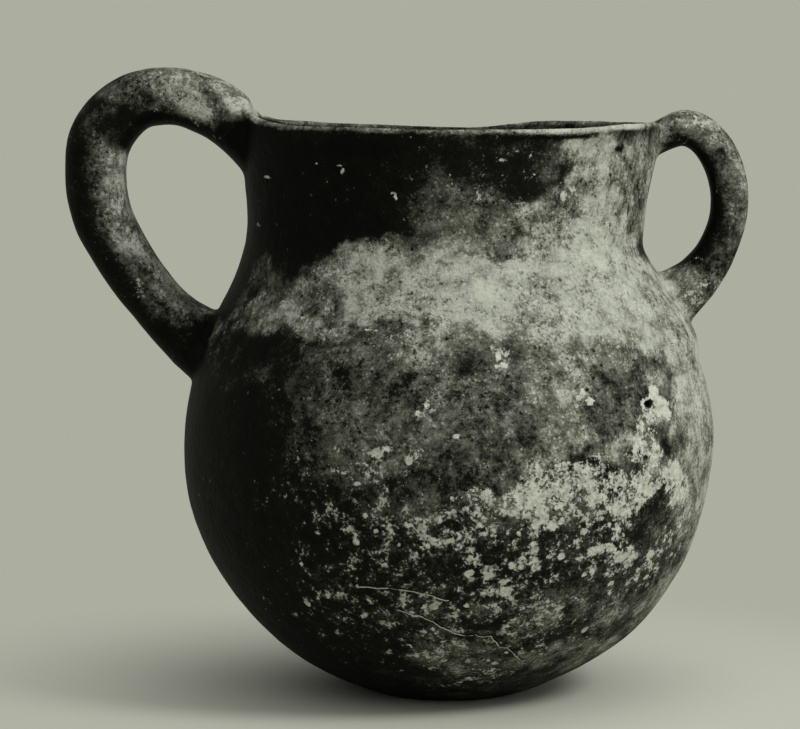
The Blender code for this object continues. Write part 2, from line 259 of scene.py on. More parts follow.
def beside_wall(points: np.ndarray, profile: WallProfile) -> tuple[np.ndarray, np.ndarray]:
    """Looks up the wall beside each point.

    Args:
        points: rows of X, Y and Z.
        profile: the wall.

    Returns:
        The outside radius and the thickness of the wall at each point's height.
    """
    levels = np.linspace(0.0, profile.rim_height, 480)
    outer = np.array([profile.outer(level) for level in levels])
    thickness = np.array([profile.wall(level) for level in levels])
    heights = np.clip(points[:, 2], 0.0, profile.rim_height)
    return np.interp(heights, levels, outer), np.interp(heights, levels, thickness)


def ease(start: float, start_slope: float, end: float, end_slope: float, run: float, share: float) -> float:
    """Blends two radii smoothly, with a slope given at each.

    Args:
        start: value where share is 0.
        start_slope: slope there.
        end: value where share is 1.
        end_slope: slope there.
        run: length over which the value changes.
        share: how far along the run, from 0 to 1.

    Returns:
        The value at that share.
    """
    square = share * share
    cube = square * share
    value = (2 * cube - 3 * square + 1) * start + (3 * square - 2 * cube) * end
    value += (cube - 2 * square + share) * run * start_slope
    return value + (cube - square) * run * end_slope


@dataclass(frozen=True)
class Swell:
    """A place where the potter's hand left the wall fuller or tighter than a true round."""

    azimuth: float
    height: float
    reach: float
    rise: float
    outward: float

    def amount(self, azimuths: np.ndarray, heights: np.ndarray) -> np.ndarray:
        """How far the wall moves outward at each azimuth and height."""
        across = turn_between(azimuths, self.azimuth) / self.reach
        along = (heights - self.height) / self.rise
        return self.outward * np.exp(-across * across - along * along)


@dataclass(frozen=True)
class LipWave:
    """A stretch of the rim that stands higher or lower than the rest."""

    azimuth: float
    reach: float
    lift: float

    def amount(self, azimuths: np.ndarray) -> np.ndarray:
        """How far the rim rises at each azimuth."""
        across = turn_between(azimuths, self.azimuth) / self.reach
        return self.lift * np.exp(-across * across)


@dataclass
class Wall:
    """The round-bottomed wall, raised ring by ring from a disc, as a coil-built jar grows."""

    profile: WallProfile = WallProfile()
    sides: int = 176
    lower_rings: int = 40
    ring_rise: float = 3.0 * MM
    lip_rings: int = 7
    lift_from: float = 200.0 * MM
    swells: tuple[Swell, ...] = (
        Swell(90, 186 * MM, 38, 8 * MM, -3.2 * MM),
        Swell(90, 200 * MM, 34, 9 * MM, -1.0 * MM),
        Swell(90, 225 * MM, 30, 10 * MM, 1.5 * MM),
        Swell(90, 152 * MM, 30, 9 * MM, 2.7 * MM),
        Swell(90, 114 * MM, 30, 16 * MM, 0.5 * MM),
        Swell(90, 54 * MM, 34, 18 * MM, 1.2 * MM),
        Swell(90, 30 * MM, 38, 15 * MM, 1.6 * MM),
        Swell(0, 116 * MM, 40, 24 * MM, -0.5 * MM),
        Swell(-90, 116 * MM, 30, 16 * MM, -0.6 * MM),
        Swell(-90, 66 * MM, 34, 24 * MM, 0.9 * MM),
        Swell(-90, 214 * MM, 30, 9 * MM, 0.9 * MM),
        Swell(34, 237 * MM, 20, 3.2 * MM, 1.6 * MM),
        Swell(34, 230 * MM, 20, 3.0 * MM, -0.5 * MM),
        Swell(165, 120 * MM, 34, 30 * MM, -0.9 * MM),
        Swell(215, 60 * MM, 30, 22 * MM, 0.8 * MM),
        Swell(140, 205 * MM, 26, 14 * MM, 0.8 * MM),
    )
    waves: tuple[LipWave, ...] = (
        LipWave(-90, 21.5, 9.0 * MM),
        LipWave(-46, 14, -0.7 * MM),
        LipWave(0, 32, -2.4 * MM),
        LipWave(36, 14, -0.9 * MM),
        LipWave(176, 20, -2.8 * MM),
        LipWave(152, 11, 0.8 * MM),
        LipWave(205, 22, -0.7 * MM),
    )

    def outside_rings(self, inset: float) -> list[tuple[float, float]]:
        """Radius and height of each ring of the outside, from the foot to the rim.

        Args:
            inset: how far the rings are drawn in from the outside.

        Returns:
            Pairs of radius and height, from the bottom up.
        """
        jar = self.profile
        foot_angle = math.asin(jar.foot_radius / jar.belly_radius)
        rings = []
        for step in range(self.lower_rings):
            angle = foot_angle + (math.pi / 2 - foot_angle) * step / self.lower_rings
            height = jar.belly_height * (1.0 - math.cos(angle) / math.cos(foot_angle))
            rings.append((jar.outer(height) - inset, height))
        steps = round((jar.rim_height - jar.belly_height) / self.ring_rise)
        for step in range(steps + 1):
            height = jar.belly_height + (jar.rim_height - jar.belly_height) * step / steps
            rings.append((jar.outer(height) - inset, height))
        return rings

    def inside_rings(self) -> list[tuple[float, float]]:
        """Radius and height of each ring of the inside, from the rim to the floor."""
        jar = self.profile
        steps = round((jar.rim_height - jar.belly_height) / self.ring_rise)
        rings = []
        for step in range(steps):
            height = jar.rim_height - (jar.rim_height - jar.belly_height) * step / steps
            rings.append((jar.inner(height), height))
        for step in range(self.lower_rings):
            angle = math.pi / 2 * (1.0 - step / self.lower_rings)
            height = jar.belly_height - (jar.belly_height - jar.floor) * math.cos(angle)
            rings.append((jar.inner(height), height))
        return rings

    def lip_turn(self) -> list[tuple[float, float]]:
        """Radius and height of the rings that turn the rounded lip over."""
        jar = self.profile
        half = jar.lip_wall / 2
        middle = jar.rim_radius - half
        foot = jar.rim_height - half
        rings = []
        for step in range(1, self.lip_rings + 1):
            angle = math.pi * step / (self.lip_rings + 1)
            rings.append((middle + half * math.cos(angle), foot + half * math.sin(angle)))
        return rings

    def raised(self, name: str, rings: list[tuple[float, float]]) -> bpy.types.Object:
        """Raises a closed round form from a disc, by extruding and resizing its top face.

        Args:
            name: the new object's name.
            rings: radius and height of each ring, the disc first.

        Returns:
            The new object, with its place in its mesh.
        """
        deselect_all()
        radius, height = rings[0]
        bpy.ops.mesh.primitive_circle_add(
            vertices=self.sides, radius=radius, fill_type="NGON", location=(0, 0, height)
        )
        form = bpy.context.object
        form.name = name
        bpy.ops.object.transform_apply(location=True)
        bpy.ops.object.mode_set(mode="EDIT")
        bpy.ops.mesh.select_all(action="SELECT")
        for next_radius, next_height in rings[1:]:
            rise = {"value": (0, 0, next_height - height)}
            bpy.ops.mesh.extrude_region_move(TRANSFORM_OT_translate=rise)
            scale = next_radius / radius
            bpy.ops.transform.resize(value=(scale, scale, 1), center_override=(0, 0, next_height))
            radius, height = next_radius, next_height
        bpy.ops.mesh.select_all(action="SELECT")
        bpy.ops.mesh.normals_make_consistent(inside=False)
        bpy.ops.object.mode_set(mode="OBJECT")
        return form

    def worked(self, form: bpy.types.Object) -> bpy.types.Object:
        """Gives a true round form the swells and the wavy rim of the hand-built jar.

        Args:
            form: the object to change.

        Returns:
            The same object.
        """
        points = points_of(form)
        azimuths = azimuth_of(points)
        heights = points[:, 2].copy()
        radii = np.hypot(points[:, 0], points[:, 1])
        outward = sum(swell.amount(azimuths, heights) for swell in self.swells)
        scale = 1.0 + outward / np.maximum(radii, self.profile.foot_radius)
        lift = sum(wave.amount(azimuths) for wave in self.waves)
        share = smoothstep(self.lift_from, self.profile.rim_height, heights)
        points[:, 0] *= scale
        points[:, 1] *= scale
        points[:, 2] += lift * share
        move_points(form, points)
        return form

    def build(self) -> bpy.types.Object:
        """Makes the hollow wall, up the outside, over the lip and down the inside."""
        outside = self.outside_rings(0.0)[:-1]
        top = self.profile.rim_height - self.profile.lip_wall / 2
        outside = [ring for ring in outside if ring[1] < top]
        inside = [ring for ring in self.inside_rings() if ring[1] < top]
        rings = outside + self.lip_turn() + inside
        closing = rings[-1]
        if closing[0] < 0.5 * MM:
            rings[-1] = (0.5 * MM, closing[1])
        return self.worked(self.raised("wall", rings))

    def hollow(self) -> bpy.types.Object:
        """Makes the solid that fills the inside and the air above the mouth."""
        rings = list(reversed(self.inside_rings()))
        radius = rings[-1][0]
        rings += [(radius, 250 * MM), (radius + 0.3 * MM, 275 * MM)]
        rings[0] = (max(rings[0][0], 0.5 * MM), rings[0][1])
        return self.worked(self.raised("hollow", rings))

    def heart(self, inset: float) -> bpy.types.Object:
        """Makes a solid that stays under the wall's outside by the inset."""
        rings = self.outside_rings(inset)
        return self.worked(self.raised("heart", rings))


# The handles


@dataclass(frozen=True)
class Station:
    """One place along a coil: its middle, and its thickness and width there."""

    across: float
    height: float
    thickness: float
    width: float


def stations(*rows: tuple[float, float, float, float]) -> tuple[Station, ...]:
    """Makes stations from rows of millimetres."""
    return tuple(Station(*(value * MM for value in row)) for row in rows)


@dataclass
class Coil:
    """A rolled and flattened coil of clay, bent into a loop and pushed into the wall at both ends."""

    name: str
    stations: tuple[Station, ...]
    steps_between: int = 6
    corner_share: float = 0.4
    corner_steps: int = 5

    def path(self) -> np.ndarray:
        """Runs a smooth curve through the stations.

        Returns:
            Rows of X, Z, thickness and width.
        """
        rows = np.array([[s.across, s.height, s.thickness, s.width] for s in self.stations])
        first = 2 * rows[0] - rows[1]
        last = 2 * rows[-1] - rows[-2]
        rows = np.vstack([first, rows, last])
        found = []
        for index in range(1, len(rows) - 2):
            before, start, end, after = rows[index - 1 : index + 3]
            for step in range(self.steps_between):
                share = step / self.steps_between
                bend = 2 * before - 5 * start + 4 * end - after
                twist = 3 * start - before - 3 * end + after
                curve = 2 * start + (end - before) * share + bend * share**2 + twist * share**3
                found.append(curve / 2)
        found.append(rows[-2])
        return np.array(found)

    def build(self) -> bpy.types.Object:
        """Draws the coil out along its path, from a rounded square.

        Returns:
            The closed coil, with its place in its mesh.
        """
        path = self.path()
        steps = np.gradient(path[:, :2], axis=0)
        leans = np.unwrap(np.arctan2(steps[:, 0], steps[:, 1]))
        deselect_all()
        bpy.ops.mesh.primitive_plane_add(size=1.0)
        coil = bpy.context.object
        coil.name = self.name
        bpy.ops.object.mode_set(mode="EDIT")
        bpy.ops.mesh.select_all(action="SELECT")
        bpy.ops.mesh.bevel(
            offset=self.corner_share, segments=self.corner_steps, affect="VERTICES", offset_type="OFFSET"
        )
        bpy.ops.mesh.select_all(action="SELECT")
        across, height, thickness, width = path[0]
        bpy.ops.transform.resize(value=(thickness, width, 1), center_override=(0, 0, 0))
        bpy.ops.transform.translate(value=(across, 0, height))
        self.lean(leans[0], (across, 0, height))
        for index in range(1, len(path)):
            place = path[index]
            move = (place[0] - path[index - 1][0], 0, place[1] - path[index - 1][1])
            bpy.ops.mesh.extrude_region_move(TRANSFORM_OT_translate={"value": move})
            centre = (place[0], 0, place[1])
            self.lean(leans[index] - leans[index - 1], centre)
            thicker = place[2] / path[index - 1][2]
            wider = place[3] / path[index - 1][3]
            bpy.ops.transform.resize(value=(thicker, wider, thicker), center_override=centre)
        bpy.ops.mesh.select_all(action="SELECT")
        bpy.ops.mesh.normals_make_consistent(inside=False)
        bpy.ops.object.mode_set(mode="OBJECT")
        return coil

    @staticmethod
    def lean(angle: float, centre: tuple[float, float, float]) -> None:
        """Leans the drawn end from +Z towards +X, about its own middle.

        Args:
            angle: how far it leans, in radians.
            centre: the middle of the end.
        """
        bpy.ops.transform.rotate(value=-angle, orient_axis="Y", center_override=centre)


# The stations follow the middle of each coil, from the lip round to its lower root
LARGE_COIL = Coil(
    "large_coil",
    stations(
        (-72.0, 221.2, 25.4, 48),
        (-82.0, 231.4, 23.8, 45),
        (-90.2, 238.6, 23.8, 40),
        (-98.4, 244.0, 24.8, 34),
        (-109.0, 247.9, 24.2, 31),
        (-118.7, 248.6, 23.8, 30),
        (-129.4, 246.6, 23.8, 30),
        (-138.9, 239.7, 25.0, 30.5),
        (-145.3, 229.6, 25.8, 31),
        (-146.9, 218.0, 25.0, 31),
        (-146.1, 206.5, 24.4, 31),
        (-143.2, 196.0, 24.2, 31),
        (-138.0, 186.2, 23.6, 30.5),
        (-129.9, 173.2, 22.8, 30),
        (-122.0, 163.0, 22.4, 30.5),
        (-113.4, 154.2, 24.2, 32),
        (-105.0, 147.2, 27.4, 35),
        (-98.5, 139.5, 25, 38),
    ),
)
SMALL_COIL = Coil(
    "small_coil",
    stations(
        (74.0, 225.5, 14.0, 24),
        (82.0, 228.8, 12.6, 21.5),
        (89.8, 232.9, 13.2, 20),
        (97.4, 235.7, 14.6, 19),
        (104.2, 233.6, 15.0, 18.5),
        (109.6, 228.6, 15.2, 18.5),
        (114.2, 220.6, 15.2, 18.5),
        (116.7, 211.5, 15.2, 18.5),
        (117.0, 203.2, 15.2, 18.5),
        (115.9, 196.2, 15.2, 18.5),
        (113.4, 189.0, 15.6, 19),
        (109.8, 181.2, 16.8, 20),
        (103.6, 173.2, 19.0, 22),
        (96.4, 167.0, 22.5, 25),
        (90.0, 162.0, 26, 29),
    ),
)


# The skin of clay over wall and handles


@dataclass(frozen=True)
class Root:
    """Where clay is smeared to join a handle's end to the wall."""

    place: tuple[float, float, float]
    reach: float
    softness: float


ROOTS = (
    Root((-90 * MM, 0.0, 227 * MM), 28 * MM, 0.75),
    Root((-101 * MM, 0.0, 155 * MM), 27 * MM, 1.0),
    Root((84 * MM, 0.0, 230 * MM), 15 * MM, 0.6),
    Root((95 * MM, 0.0, 168 * MM), 19 * MM, 0.8),
)


@dataclass(frozen=True)
class Lumps:
    """Unevenness of one size, left by fingers, scraper or grit."""

    name: str
    size: float
    height: float
    depth: int = 1


LUMPS = (
    Lumps("squeeze", 46 * MM, 1.1 * MM),
    Lumps("fingers", 15 * MM, 0.42 * MM),
    Lumps("scraping", 5 * MM, 0.16 * MM, 2),
)


@dataclass(frozen=True)
class Crack:
    """A fine crack that follows a line of points on the wall, given as azimuth and height."""

    line: tuple[tuple[float, float], ...]
    half_width: float
    depth: float
    jag: float = 1.0


@dataclass(frozen=True)
class Pit:
    """A small hole or chip on the outside."""

    azimuth: float
    height: float
    radius: float
    depth: float


CRACKS = (
    Crack(((-20, 58), (-14, 57.5), (-8, 57), (0, 53)), 0.32 * MM, 0.2 * MM, 0.45),
    Crack(
        ((-12, 48.5), (-5, 45), (1, 38.5), (7.5, 36.5), (12, 36), (15, 31.5), (20, 28.5), (24, 23.5)),
        0.5 * MM,
        0.7 * MM,
        1.0,
    ),
    Crack(((24.0, 240), (24.6, 236.5)), 0.4 * MM, 0.6 * MM, 0.4),
    Crack(((158, 206), (163, 196), (161, 188), (168, 176)), 0.4 * MM, 0.4 * MM),
)
PITS = (
    Pit(47.0, 127.5, 1.9 * MM, 1.6 * MM),
    Pit(-14.5, 211.0, 1.2 * MM, 0.6 * MM),
    Pit(-31.0, 220.5, 0.8 * MM, 0.3 * MM),
    Pit(-37.0, 223.0, 0.8 * MM, 0.3 * MM),
    Pit(53.0, 228.0, 1.6 * MM, 0.7 * MM),
    Pit(-60.0, 215.0, 1.1 * MM, 0.3 * MM),
    Pit(24.6, 238.0, 1.5 * MM, 1.0 * MM),
    Pit(205.0, 140.0, 2.2 * MM, 0.8 * MM),
    Pit(150.0, 84.0, 1.8 * MM, 0.7 * MM),
    Pit(232.0, 186.0, 1.6 * MM, 0.6 * MM),
)


@dataclass
class Skin:
    """Wall and coils worked into one body, with the marks of the potter's tools."""

    wall: Wall
    coils: tuple[Coil, ...]
    voxel: float = 1.1 * MM
    quick_voxel: float = 1.6 * MM
    smoothing: int = 3
    joint_smoothing: int = 22
    still_foot: float = 2.5 * MM

    def build(self) -> bpy.types.Object:
        """Joins wall and coils, closes them into one skin, and works it over.

        Returns:
            The whole jar as one closed mesh.
        """
        body = self.wall.build()
        guide = copy_of(body, "guide")
        hollow = self.wall.hollow()
        coils = []
        for coil in self.coils:
            loop = coil.build()
            apply_modifier(loop, "BOOLEAN", operation="DIFFERENCE", object=hollow, solver="MANIFOLD")
            coils.append(loop)
        discard(hollow)
        deselect_all()
        for loop in coils:
            loop.select_set(True)
        body.select_set(True)
        bpy.context.view_layer.objects.active = body
        bpy.ops.object.join()
        voxel = self.voxel
        apply_modifier(body, "REMESH", mode="VOXEL", voxel_size=voxel, adaptivity=0.0)
        self.smear_joints(body)
        apply_modifier(body, "SMOOTH", factor=0.5, iterations=self.smoothing)
        self.true_up(body, guide)
        self.leave_lumps(body)
        self.cut_cracks(body)
        body.name = "skin"
        return body

    def smear_joints(self, body: bpy.types.Object) -> None:
        """Smooths the clay round the roots of the handles, as a wet thumb does."""
        points = points_of(body)
        weights = np.zeros(len(points))
        for root in ROOTS:
            away = np.linalg.norm(points - np.array(root.place), axis=1)
            near = root.softness * smoothstep(root.reach, root.reach * 0.4, away)
            weights = np.maximum(weights, near)
        near_axis = np.hypot(points[:, 0], points[:, 1]) < 92 * MM
        lip = smoothstep(232 * MM, 236 * MM, points[:, 2]) * near_axis
        weights *= 1.0 - 0.85 * lip
        group = weigh(body, "joints", weights)
        apply_modifier(body, "SMOOTH", factor=0.5, iterations=self.joint_smoothing, vertex_group=group)

    def true_up(self, body: bpy.types.Object, guide: bpy.types.Object) -> None:
        """Lays the skin back on the wall as it was raised, away from the handles.

        Args:
            body: the skin.
            guide: the wall by itself, which is removed afterwards.
        """
        points = points_of(body)
        outer, _ = beside_wall(points, self.wall.profile)
        weights = smoothstep(5 * MM, 3.5 * MM, np.hypot(points[:, 0], points[:, 1]) - outer)
        for root in ROOTS:
            away = np.linalg.norm(points - np.array(root.place), axis=1)
            weights *= smoothstep(root.reach + 4 * MM, root.reach + 12 * MM, away)
        group = weigh(body, "wall", weights)
        apply_modifier(
            body, "SHRINKWRAP", target=guide, wrap_method="NEAREST_SURFACEPOINT", vertex_group=group
        )
        discard(guide)

    def leave_lumps(self, body: bpy.types.Object) -> None:
        """Pushes the surface in and out by soft noise of several sizes."""
        points = points_of(body)
        group = weigh(body, "worked", smoothstep(0.0, self.still_foot, points[:, 2] - 0.6 * MM))
        for lumps in LUMPS:
            texture = bpy.data.textures.new(lumps.name, "CLOUDS")
            texture.noise_scale = lumps.size
            texture.noise_depth = lumps.depth
            apply_modifier(
                body,
                "DISPLACE",
                texture=texture,
                texture_coords="LOCAL",
                strength=lumps.height,
                mid_level=0.5,
                vertex_group=group,
            )

    def cut_cracks(self, body: bpy.types.Object) -> None:
        """Divides the skin finely along the cracks and pits and presses them in."""
        self.divide_near(body)
        points = points_of(body)
        depth = np.zeros(len(points))
        for crack in CRACKS:
            rough = np.nonzero(beside_line(points, crack, self.wall.profile)[0] < 5 * MM)[0]
            away, _ = beside_line(ragged(points[rough], crack.jag), crack, self.wall.profile)
            pressed = crack.depth * smoothstep(crack.half_width, 0.0, away)
            depth[rough] = np.maximum(depth[rough], pressed)
        for pit in PITS:
            away = self.from_pit(points, pit)
            depth = np.maximum(depth, pit.depth * smoothstep(pit.radius, pit.radius * 0.35, away))
        depth *= on_outside(points, self.wall.profile)
        points -= normals_of(body) * depth[:, None]
        move_points(body, points)

    def from_pit(self, points: np.ndarray, pit: Pit) -> np.ndarray:
        """Distance of each point from the middle of a pit."""
        return np.linalg.norm(points - on_wall(pit.azimuth, pit.height, self.wall.profile), axis=1)

    def divide_near(self, body: bpy.types.Object) -> None:
        """Subdivides the faces that lie along a crack or round a pit."""
        points = points_of(body)
        near = np.zeros(len(points), bool)
        for crack in CRACKS:
            near |= beside_line(points, crack, self.wall.profile)[0] < 3.4 * MM
        for pit in PITS:
            near |= self.from_pit(points, pit) < 3.6 * MM
        near &= on_outside(points, self.wall.profile)
        take_up(body)
        bpy.ops.object.mode_set(mode="EDIT")
        bpy.ops.mesh.select_all(action="DESELECT")
        bpy.ops.object.mode_set(mode="OBJECT")
        for face in body.data.polygons:
            face.select = all(near[index] for index in face.vertices)
        bpy.ops.object.mode_set(mode="EDIT")
        bpy.ops.mesh.select_mode(type="FACE")
        bpy.ops.mesh.subdivide(number_cuts=3)
        bpy.ops.object.mode_set(mode="OBJECT")


def on_outside(points: np.ndarray, profile: WallProfile) -> np.ndarray:
    """Tells which points lie on the outer face of the wall or beyond it."""
    outer, thickness = beside_wall(points, profile)
    return np.hypot(points[:, 0], points[:, 1]) > outer - thickness / 2


def ragged(points: np.ndarray, jag: float) -> np.ndarray:
    """Shifts points a little by noise, so that a line between a few corners breaks like fired clay.

    Args:
        points: rows of X, Y and Z.
        jag: how strongly, with 1 for shifts of about a millimetre.

    Returns:
        The shifted points.
    """
    shifts = np.empty_like(points)
    for row, point in enumerate(points):
        place = Vector(point)
        coarse = noise.noise_vector(place / (4.5 * MM))
        fine = noise.noise_vector(place / (1.4 * MM))
        shifts[row] = coarse * 1.5 + fine * 0.4
    outward = points - np.array([0.0, 0.0, WallProfile.belly_height])
    outward[:, 2] = np.minimum(outward[:, 2], 0.0)
    outward /= np.linalg.norm(outward, axis=1)[:, None]
    shifts -= np.sum(shifts * outward, axis=1)[:, None] * outward
    return points + shifts * jag * MM


def on_wall(azimuth: float, height: float, profile: WallProfile) -> np.ndarray:
    """Finds a place on the outside of the wall.

    Args:
        azimuth: in degrees, 0 to the front.
        height: in millimetres.
        profile: the wall.

    Returns:
        X, Y and Z in metres.
    """
    level = height * MM
    radius = profile.outer(min(level, profile.rim_height))
    turn = math.radians(azimuth)
    return np.array([radius * math.sin(turn), -radius * math.cos(turn), level])


def beside_line(points: np.ndarray, crack: Crack, profile: WallProfile) -> tuple[np.ndarray, np.ndarray]:
    """Measures points against a crack that is drawn on the outside of the wall.

    Args:
        points: rows of X, Y and Z.
        crack: the crack.
        profile: the wall that it is drawn on.

    Returns:
        Distance of each point from the crack, and its offset to one side, with a sign.
    """
    corners = [on_wall(azimuth, height, profile) for azimuth, height in crack.line]
    found = np.full(len(points), np.inf)
    offset = np.full(len(points), np.inf)
    for start, end in zip(corners, corners[1:]):
        along = end - start
        share = np.clip((points - start) @ along / (along @ along), 0.0, 1.0)
        away = np.linalg.norm(points - start - share[:, None] * along, axis=1)
        outward = np.array([start[0], start[1], 0.0]) / np.hypot(start[0], start[1])
        across = np.cross(along / np.linalg.norm(along), outward)
        side = (points - start) @ across
        nearer = away < found
        found[nearer] = away[nearer]
        offset[nearer] = side[nearer]
    return found, offset


# Parting the skin into its pieces


@dataclass(frozen=True)
class JointCell:
    """The block of clay round a handle's root that becomes its luting."""

    name: str
    node: str
    start: tuple[float, float]
    lean: float
    length: float
    below: float
    above: float
    half_width: float

    def block(self) -> bpy.types.Object:
        """Makes a box that starts across the coil and runs on into the wall.

        Returns:
            The box, turned and placed in its mesh.
        """
        deselect_all()
        bpy.ops.mesh.primitive_cube_add(size=1.0)
        box = bpy.context.object
        box.name = self.name + "_block"
        size = Matrix.Diagonal((self.length, 2 * self.half_width, self.below + self.above, 1.0))
        shift = Matrix.Translation((self.length / 2, 0.0, (self.above - self.below) / 2))
        turn = Matrix.Rotation(-math.radians(self.lean), 4, "Y")
        place = Matrix.Translation((self.start[0], 0.0, self.start[1]))
        box.data.transform(place @ turn @ shift @ size)
        return box


CELLS = (
    JointCell("large_top_smear", "large_handle_top_luting", (-101 * MM, 245.5 * MM), -20, 46 * MM, 52 * MM, 26 * MM, 42 * MM),
    JointCell("large_root_smear", "large_handle_lower_luting", (-119 * MM, 160.5 * MM), -50, 46 * MM, 27 * MM, 27 * MM, 32 * MM),
    JointCell("small_top_smear", "small_handle_top_luting", (91.5 * MM, 233.8 * MM), 196, 22 * MM, 15 * MM, 20 * MM, 20 * MM),
    JointCell("small_root_smear", "small_handle_lower_luting", (104 * MM, 175.5 * MM), 232, 34 * MM, 20 * MM, 20 * MM, 23 * MM),
)

SEAMS = (36 * MM, 74 * MM, 119 * MM, 152.85 * MM, 181 * MM, 212 * MM)
BANDS = (
    ("burnished_base", "base_bowl", Slot.BASE),
    ("lower_wall", "lower_wall_band", Slot.WALL),
    ("belly_wall", "belly_band", Slot.WALL),
    ("upper_wall", "upper_wall_band", Slot.WALL),
    ("shoulder_wall", "shoulder_band", Slot.WALL),
    ("neck_wall", "neck_band", Slot.NECK),
    ("rim_wall", "rim_band", Slot.NECK),
)


@dataclass
class Parting:
    """Cuts the worked skin into the pieces that stand for the nodes."""

    wall: Wall
    inlay: float = 1.2 * MM

    def take(self, body: bpy.types.Object, cutter: bpy.types.Object, name: str) -> bpy.types.Object:
        """Cuts what a cutter holds out of the body.

        Args:
            body: the skin, which loses that part.
            cutter: a closed solid, which is removed afterwards.
            name: name of the part.

        Returns:
            The part.
        """
        part = copy_of(body, name)
        apply_modifier(part, "BOOLEAN", operation="INTERSECT", object=cutter, solver="MANIFOLD")
        apply_modifier(body, "BOOLEAN", operation="DIFFERENCE", object=cutter, solver="MANIFOLD")
        discard(cutter)
        return part

    def lutings(self, body: bpy.types.Object) -> list[tuple[bpy.types.Object, str, Slot]]:
        """Cuts the four lutings out, a little way into the wall."""
        found = []
        for cell in CELLS:
            block = cell.block()
            heart = self.wall.heart(self.inlay)
            apply_modifier(block, "BOOLEAN", operation="DIFFERENCE", object=heart, solver="MANIFOLD")
            discard(heart)
            part = self.take(body, block, cell.name)
            keep_largest(part)
            found.append((part, cell.node, Slot.HANDLE))
        return found

    def bands(self, body: bpy.types.Object) -> list[tuple[bpy.types.Object, str, Slot]]:
        """Slices the wall level at each seam."""
        found = []
        for (name, node, slot), seam in zip(BANDS, SEAMS):
            deselect_all()
            bpy.ops.mesh.primitive_cube_add(size=1.0)
            slab = bpy.context.object
            reach = 400 * MM
            depth = 300 * MM
            slab.data.transform(Matrix.Translation((0, 0, seam - depth / 2)) @ Matrix.Diagonal((reach, reach, depth, 1)))
            found.append((self.take(body, slab, name), node, slot))
        name, node, slot = BANDS[-1]
        body.name = name
        found.append((body, node, slot))
        for part, _, _ in found:
            keep_largest(part)
        return found

    def build(self, body: bpy.types.Object) -> list[tuple[bpy.types.Object, str, Slot]]:
        """Parts the whole skin.

        Args:
            body: the worked skin.

        Returns:
            Each piece with its node and its material slot.
        """
        found = self.lutings(body)
        for side, name, node in (
            (Side.LARGE, "large_loop", "large_handle"),
            (Side.SMALL, "small_loop", "small_handle"),
        ):
            found.append((split_loop(body, side, name), node, Slot.HANDLE))
        return found + self.bands(body)


def islands(piece: bpy.types.Object) -> list[list[int]]:
    """Groups the vertices of a mesh that hang together, the largest group first."""
    mesh = bmesh.new()
    mesh.from_mesh(piece.data)
    mesh.verts.ensure_lookup_table()
    seen = [False] * len(mesh.verts)
    groups = []
    for start in mesh.verts:
        if seen[start.index]:
            continue
        seen[start.index] = True
        stack = [start]
        group = []
        while stack:
            point = stack.pop()
            group.append(point.index)
            for edge in point.link_edges:
                other = edge.other_vert(point)
                if not seen[other.index]:
                    seen[other.index] = True
                    stack.append(other)
        groups.append(group)
    mesh.free()
    return sorted(groups, key=len, reverse=True)


def keep_only(piece: bpy.types.Object, group: list[int]) -> None:
    """Deletes every vertex of a piece that isn't in the group."""
    mesh = bmesh.new()
    mesh.from_mesh(piece.data)
    wanted = set(group)
    spare = [point for point in mesh.verts if point.index not in wanted]
    bmesh.ops.delete(mesh, geom=spare, context="VERTS")
    mesh.to_mesh(piece.data)
    mesh.free()


def keep_largest(piece: bpy.types.Object) -> None:
    """Drops the crumbs that a cut can leave beside a piece."""
    groups = islands(piece)
    if len(groups) > 1:
        log.info("%s: %d crumbs dropped, the largest of %d points", piece.name, len(groups) - 1, len(groups[1]))
        keep_only(piece, groups[0])


def split_loop(body: bpy.types.Object, side: Side, name: str) -> bpy.types.Object:
    """Takes the loop that the lutings have parted from the wall.

    Args:
        body: the skin without its lutings, which loses the loop.
        side: which handle it is.
        name: name for the loop.

    Returns:
        The loop as its own object.
    """
    groups = islands(body)
    points = points_of(body)
    wall = groups[0]
    loop = next(
        group for group in groups[1:] if len(group) > 500 and points[group][:, 0].mean() * side.value > 60 * MM
    )
    part = copy_of(body, name)
    keep_only(part, loop)
    rest = [index for group in groups if group is not loop and len(group) > 500 for index in group]
    keep_only(body, rest or wall)
    return part


# Smoke, slip and lime, painted on the finished pieces


@dataclass(frozen=True)
class Mark:
    """A patch on the wall, by azimuth in degrees and height in millimetres."""

    azimuth: float
    height: float
    reach: float
    rise: float
    tone: float
    edge: float = 0.6

    def cover(self, azimuths: np.ndarray, heights: np.ndarray) -> np.ndarray:
        """How far the patch covers each place, from 0 to 1."""
        across = turn_between(azimuths, self.azimuth) / self.reach
        along = (heights - self.height) / self.rise
        return smoothstep(1.0 + self.edge, 1.0 - self.edge, np.hypot(across, along))


@dataclass(frozen=True)
class Dab:
    """A patch on a handle, by X, Y and Z of its middle and its three reaches, in millimetres."""

    place: tuple[float, float, float]
    reach: tuple[float, float, float]
    tone: float
    edge: float = 0.4

    def cover(self, points: np.ndarray) -> np.ndarray:
        """How far the patch covers each point, from 0 to 1. Points are in millimetres."""
        away = np.linalg.norm((points - np.array(self.place)) / np.array(self.reach), axis=1)
        return smoothstep(1.0 + self.edge, 1.0 - self.edge, away)


def marks(*rows: tuple[float, ...]) -> tuple[Mark, ...]:
    """Makes marks from rows of azimuth, height, reach, rise, tone and, where it is given, edge."""
    return tuple(Mark(*row) for row in rows)


def dabs(*rows: tuple[float, ...]) -> tuple[Dab, ...]:
    """Makes dabs from rows of X, Y, Z, three reaches and a tone."""
    return tuple(Dab(row[0:3], row[3:6], row[6]) for row in rows)


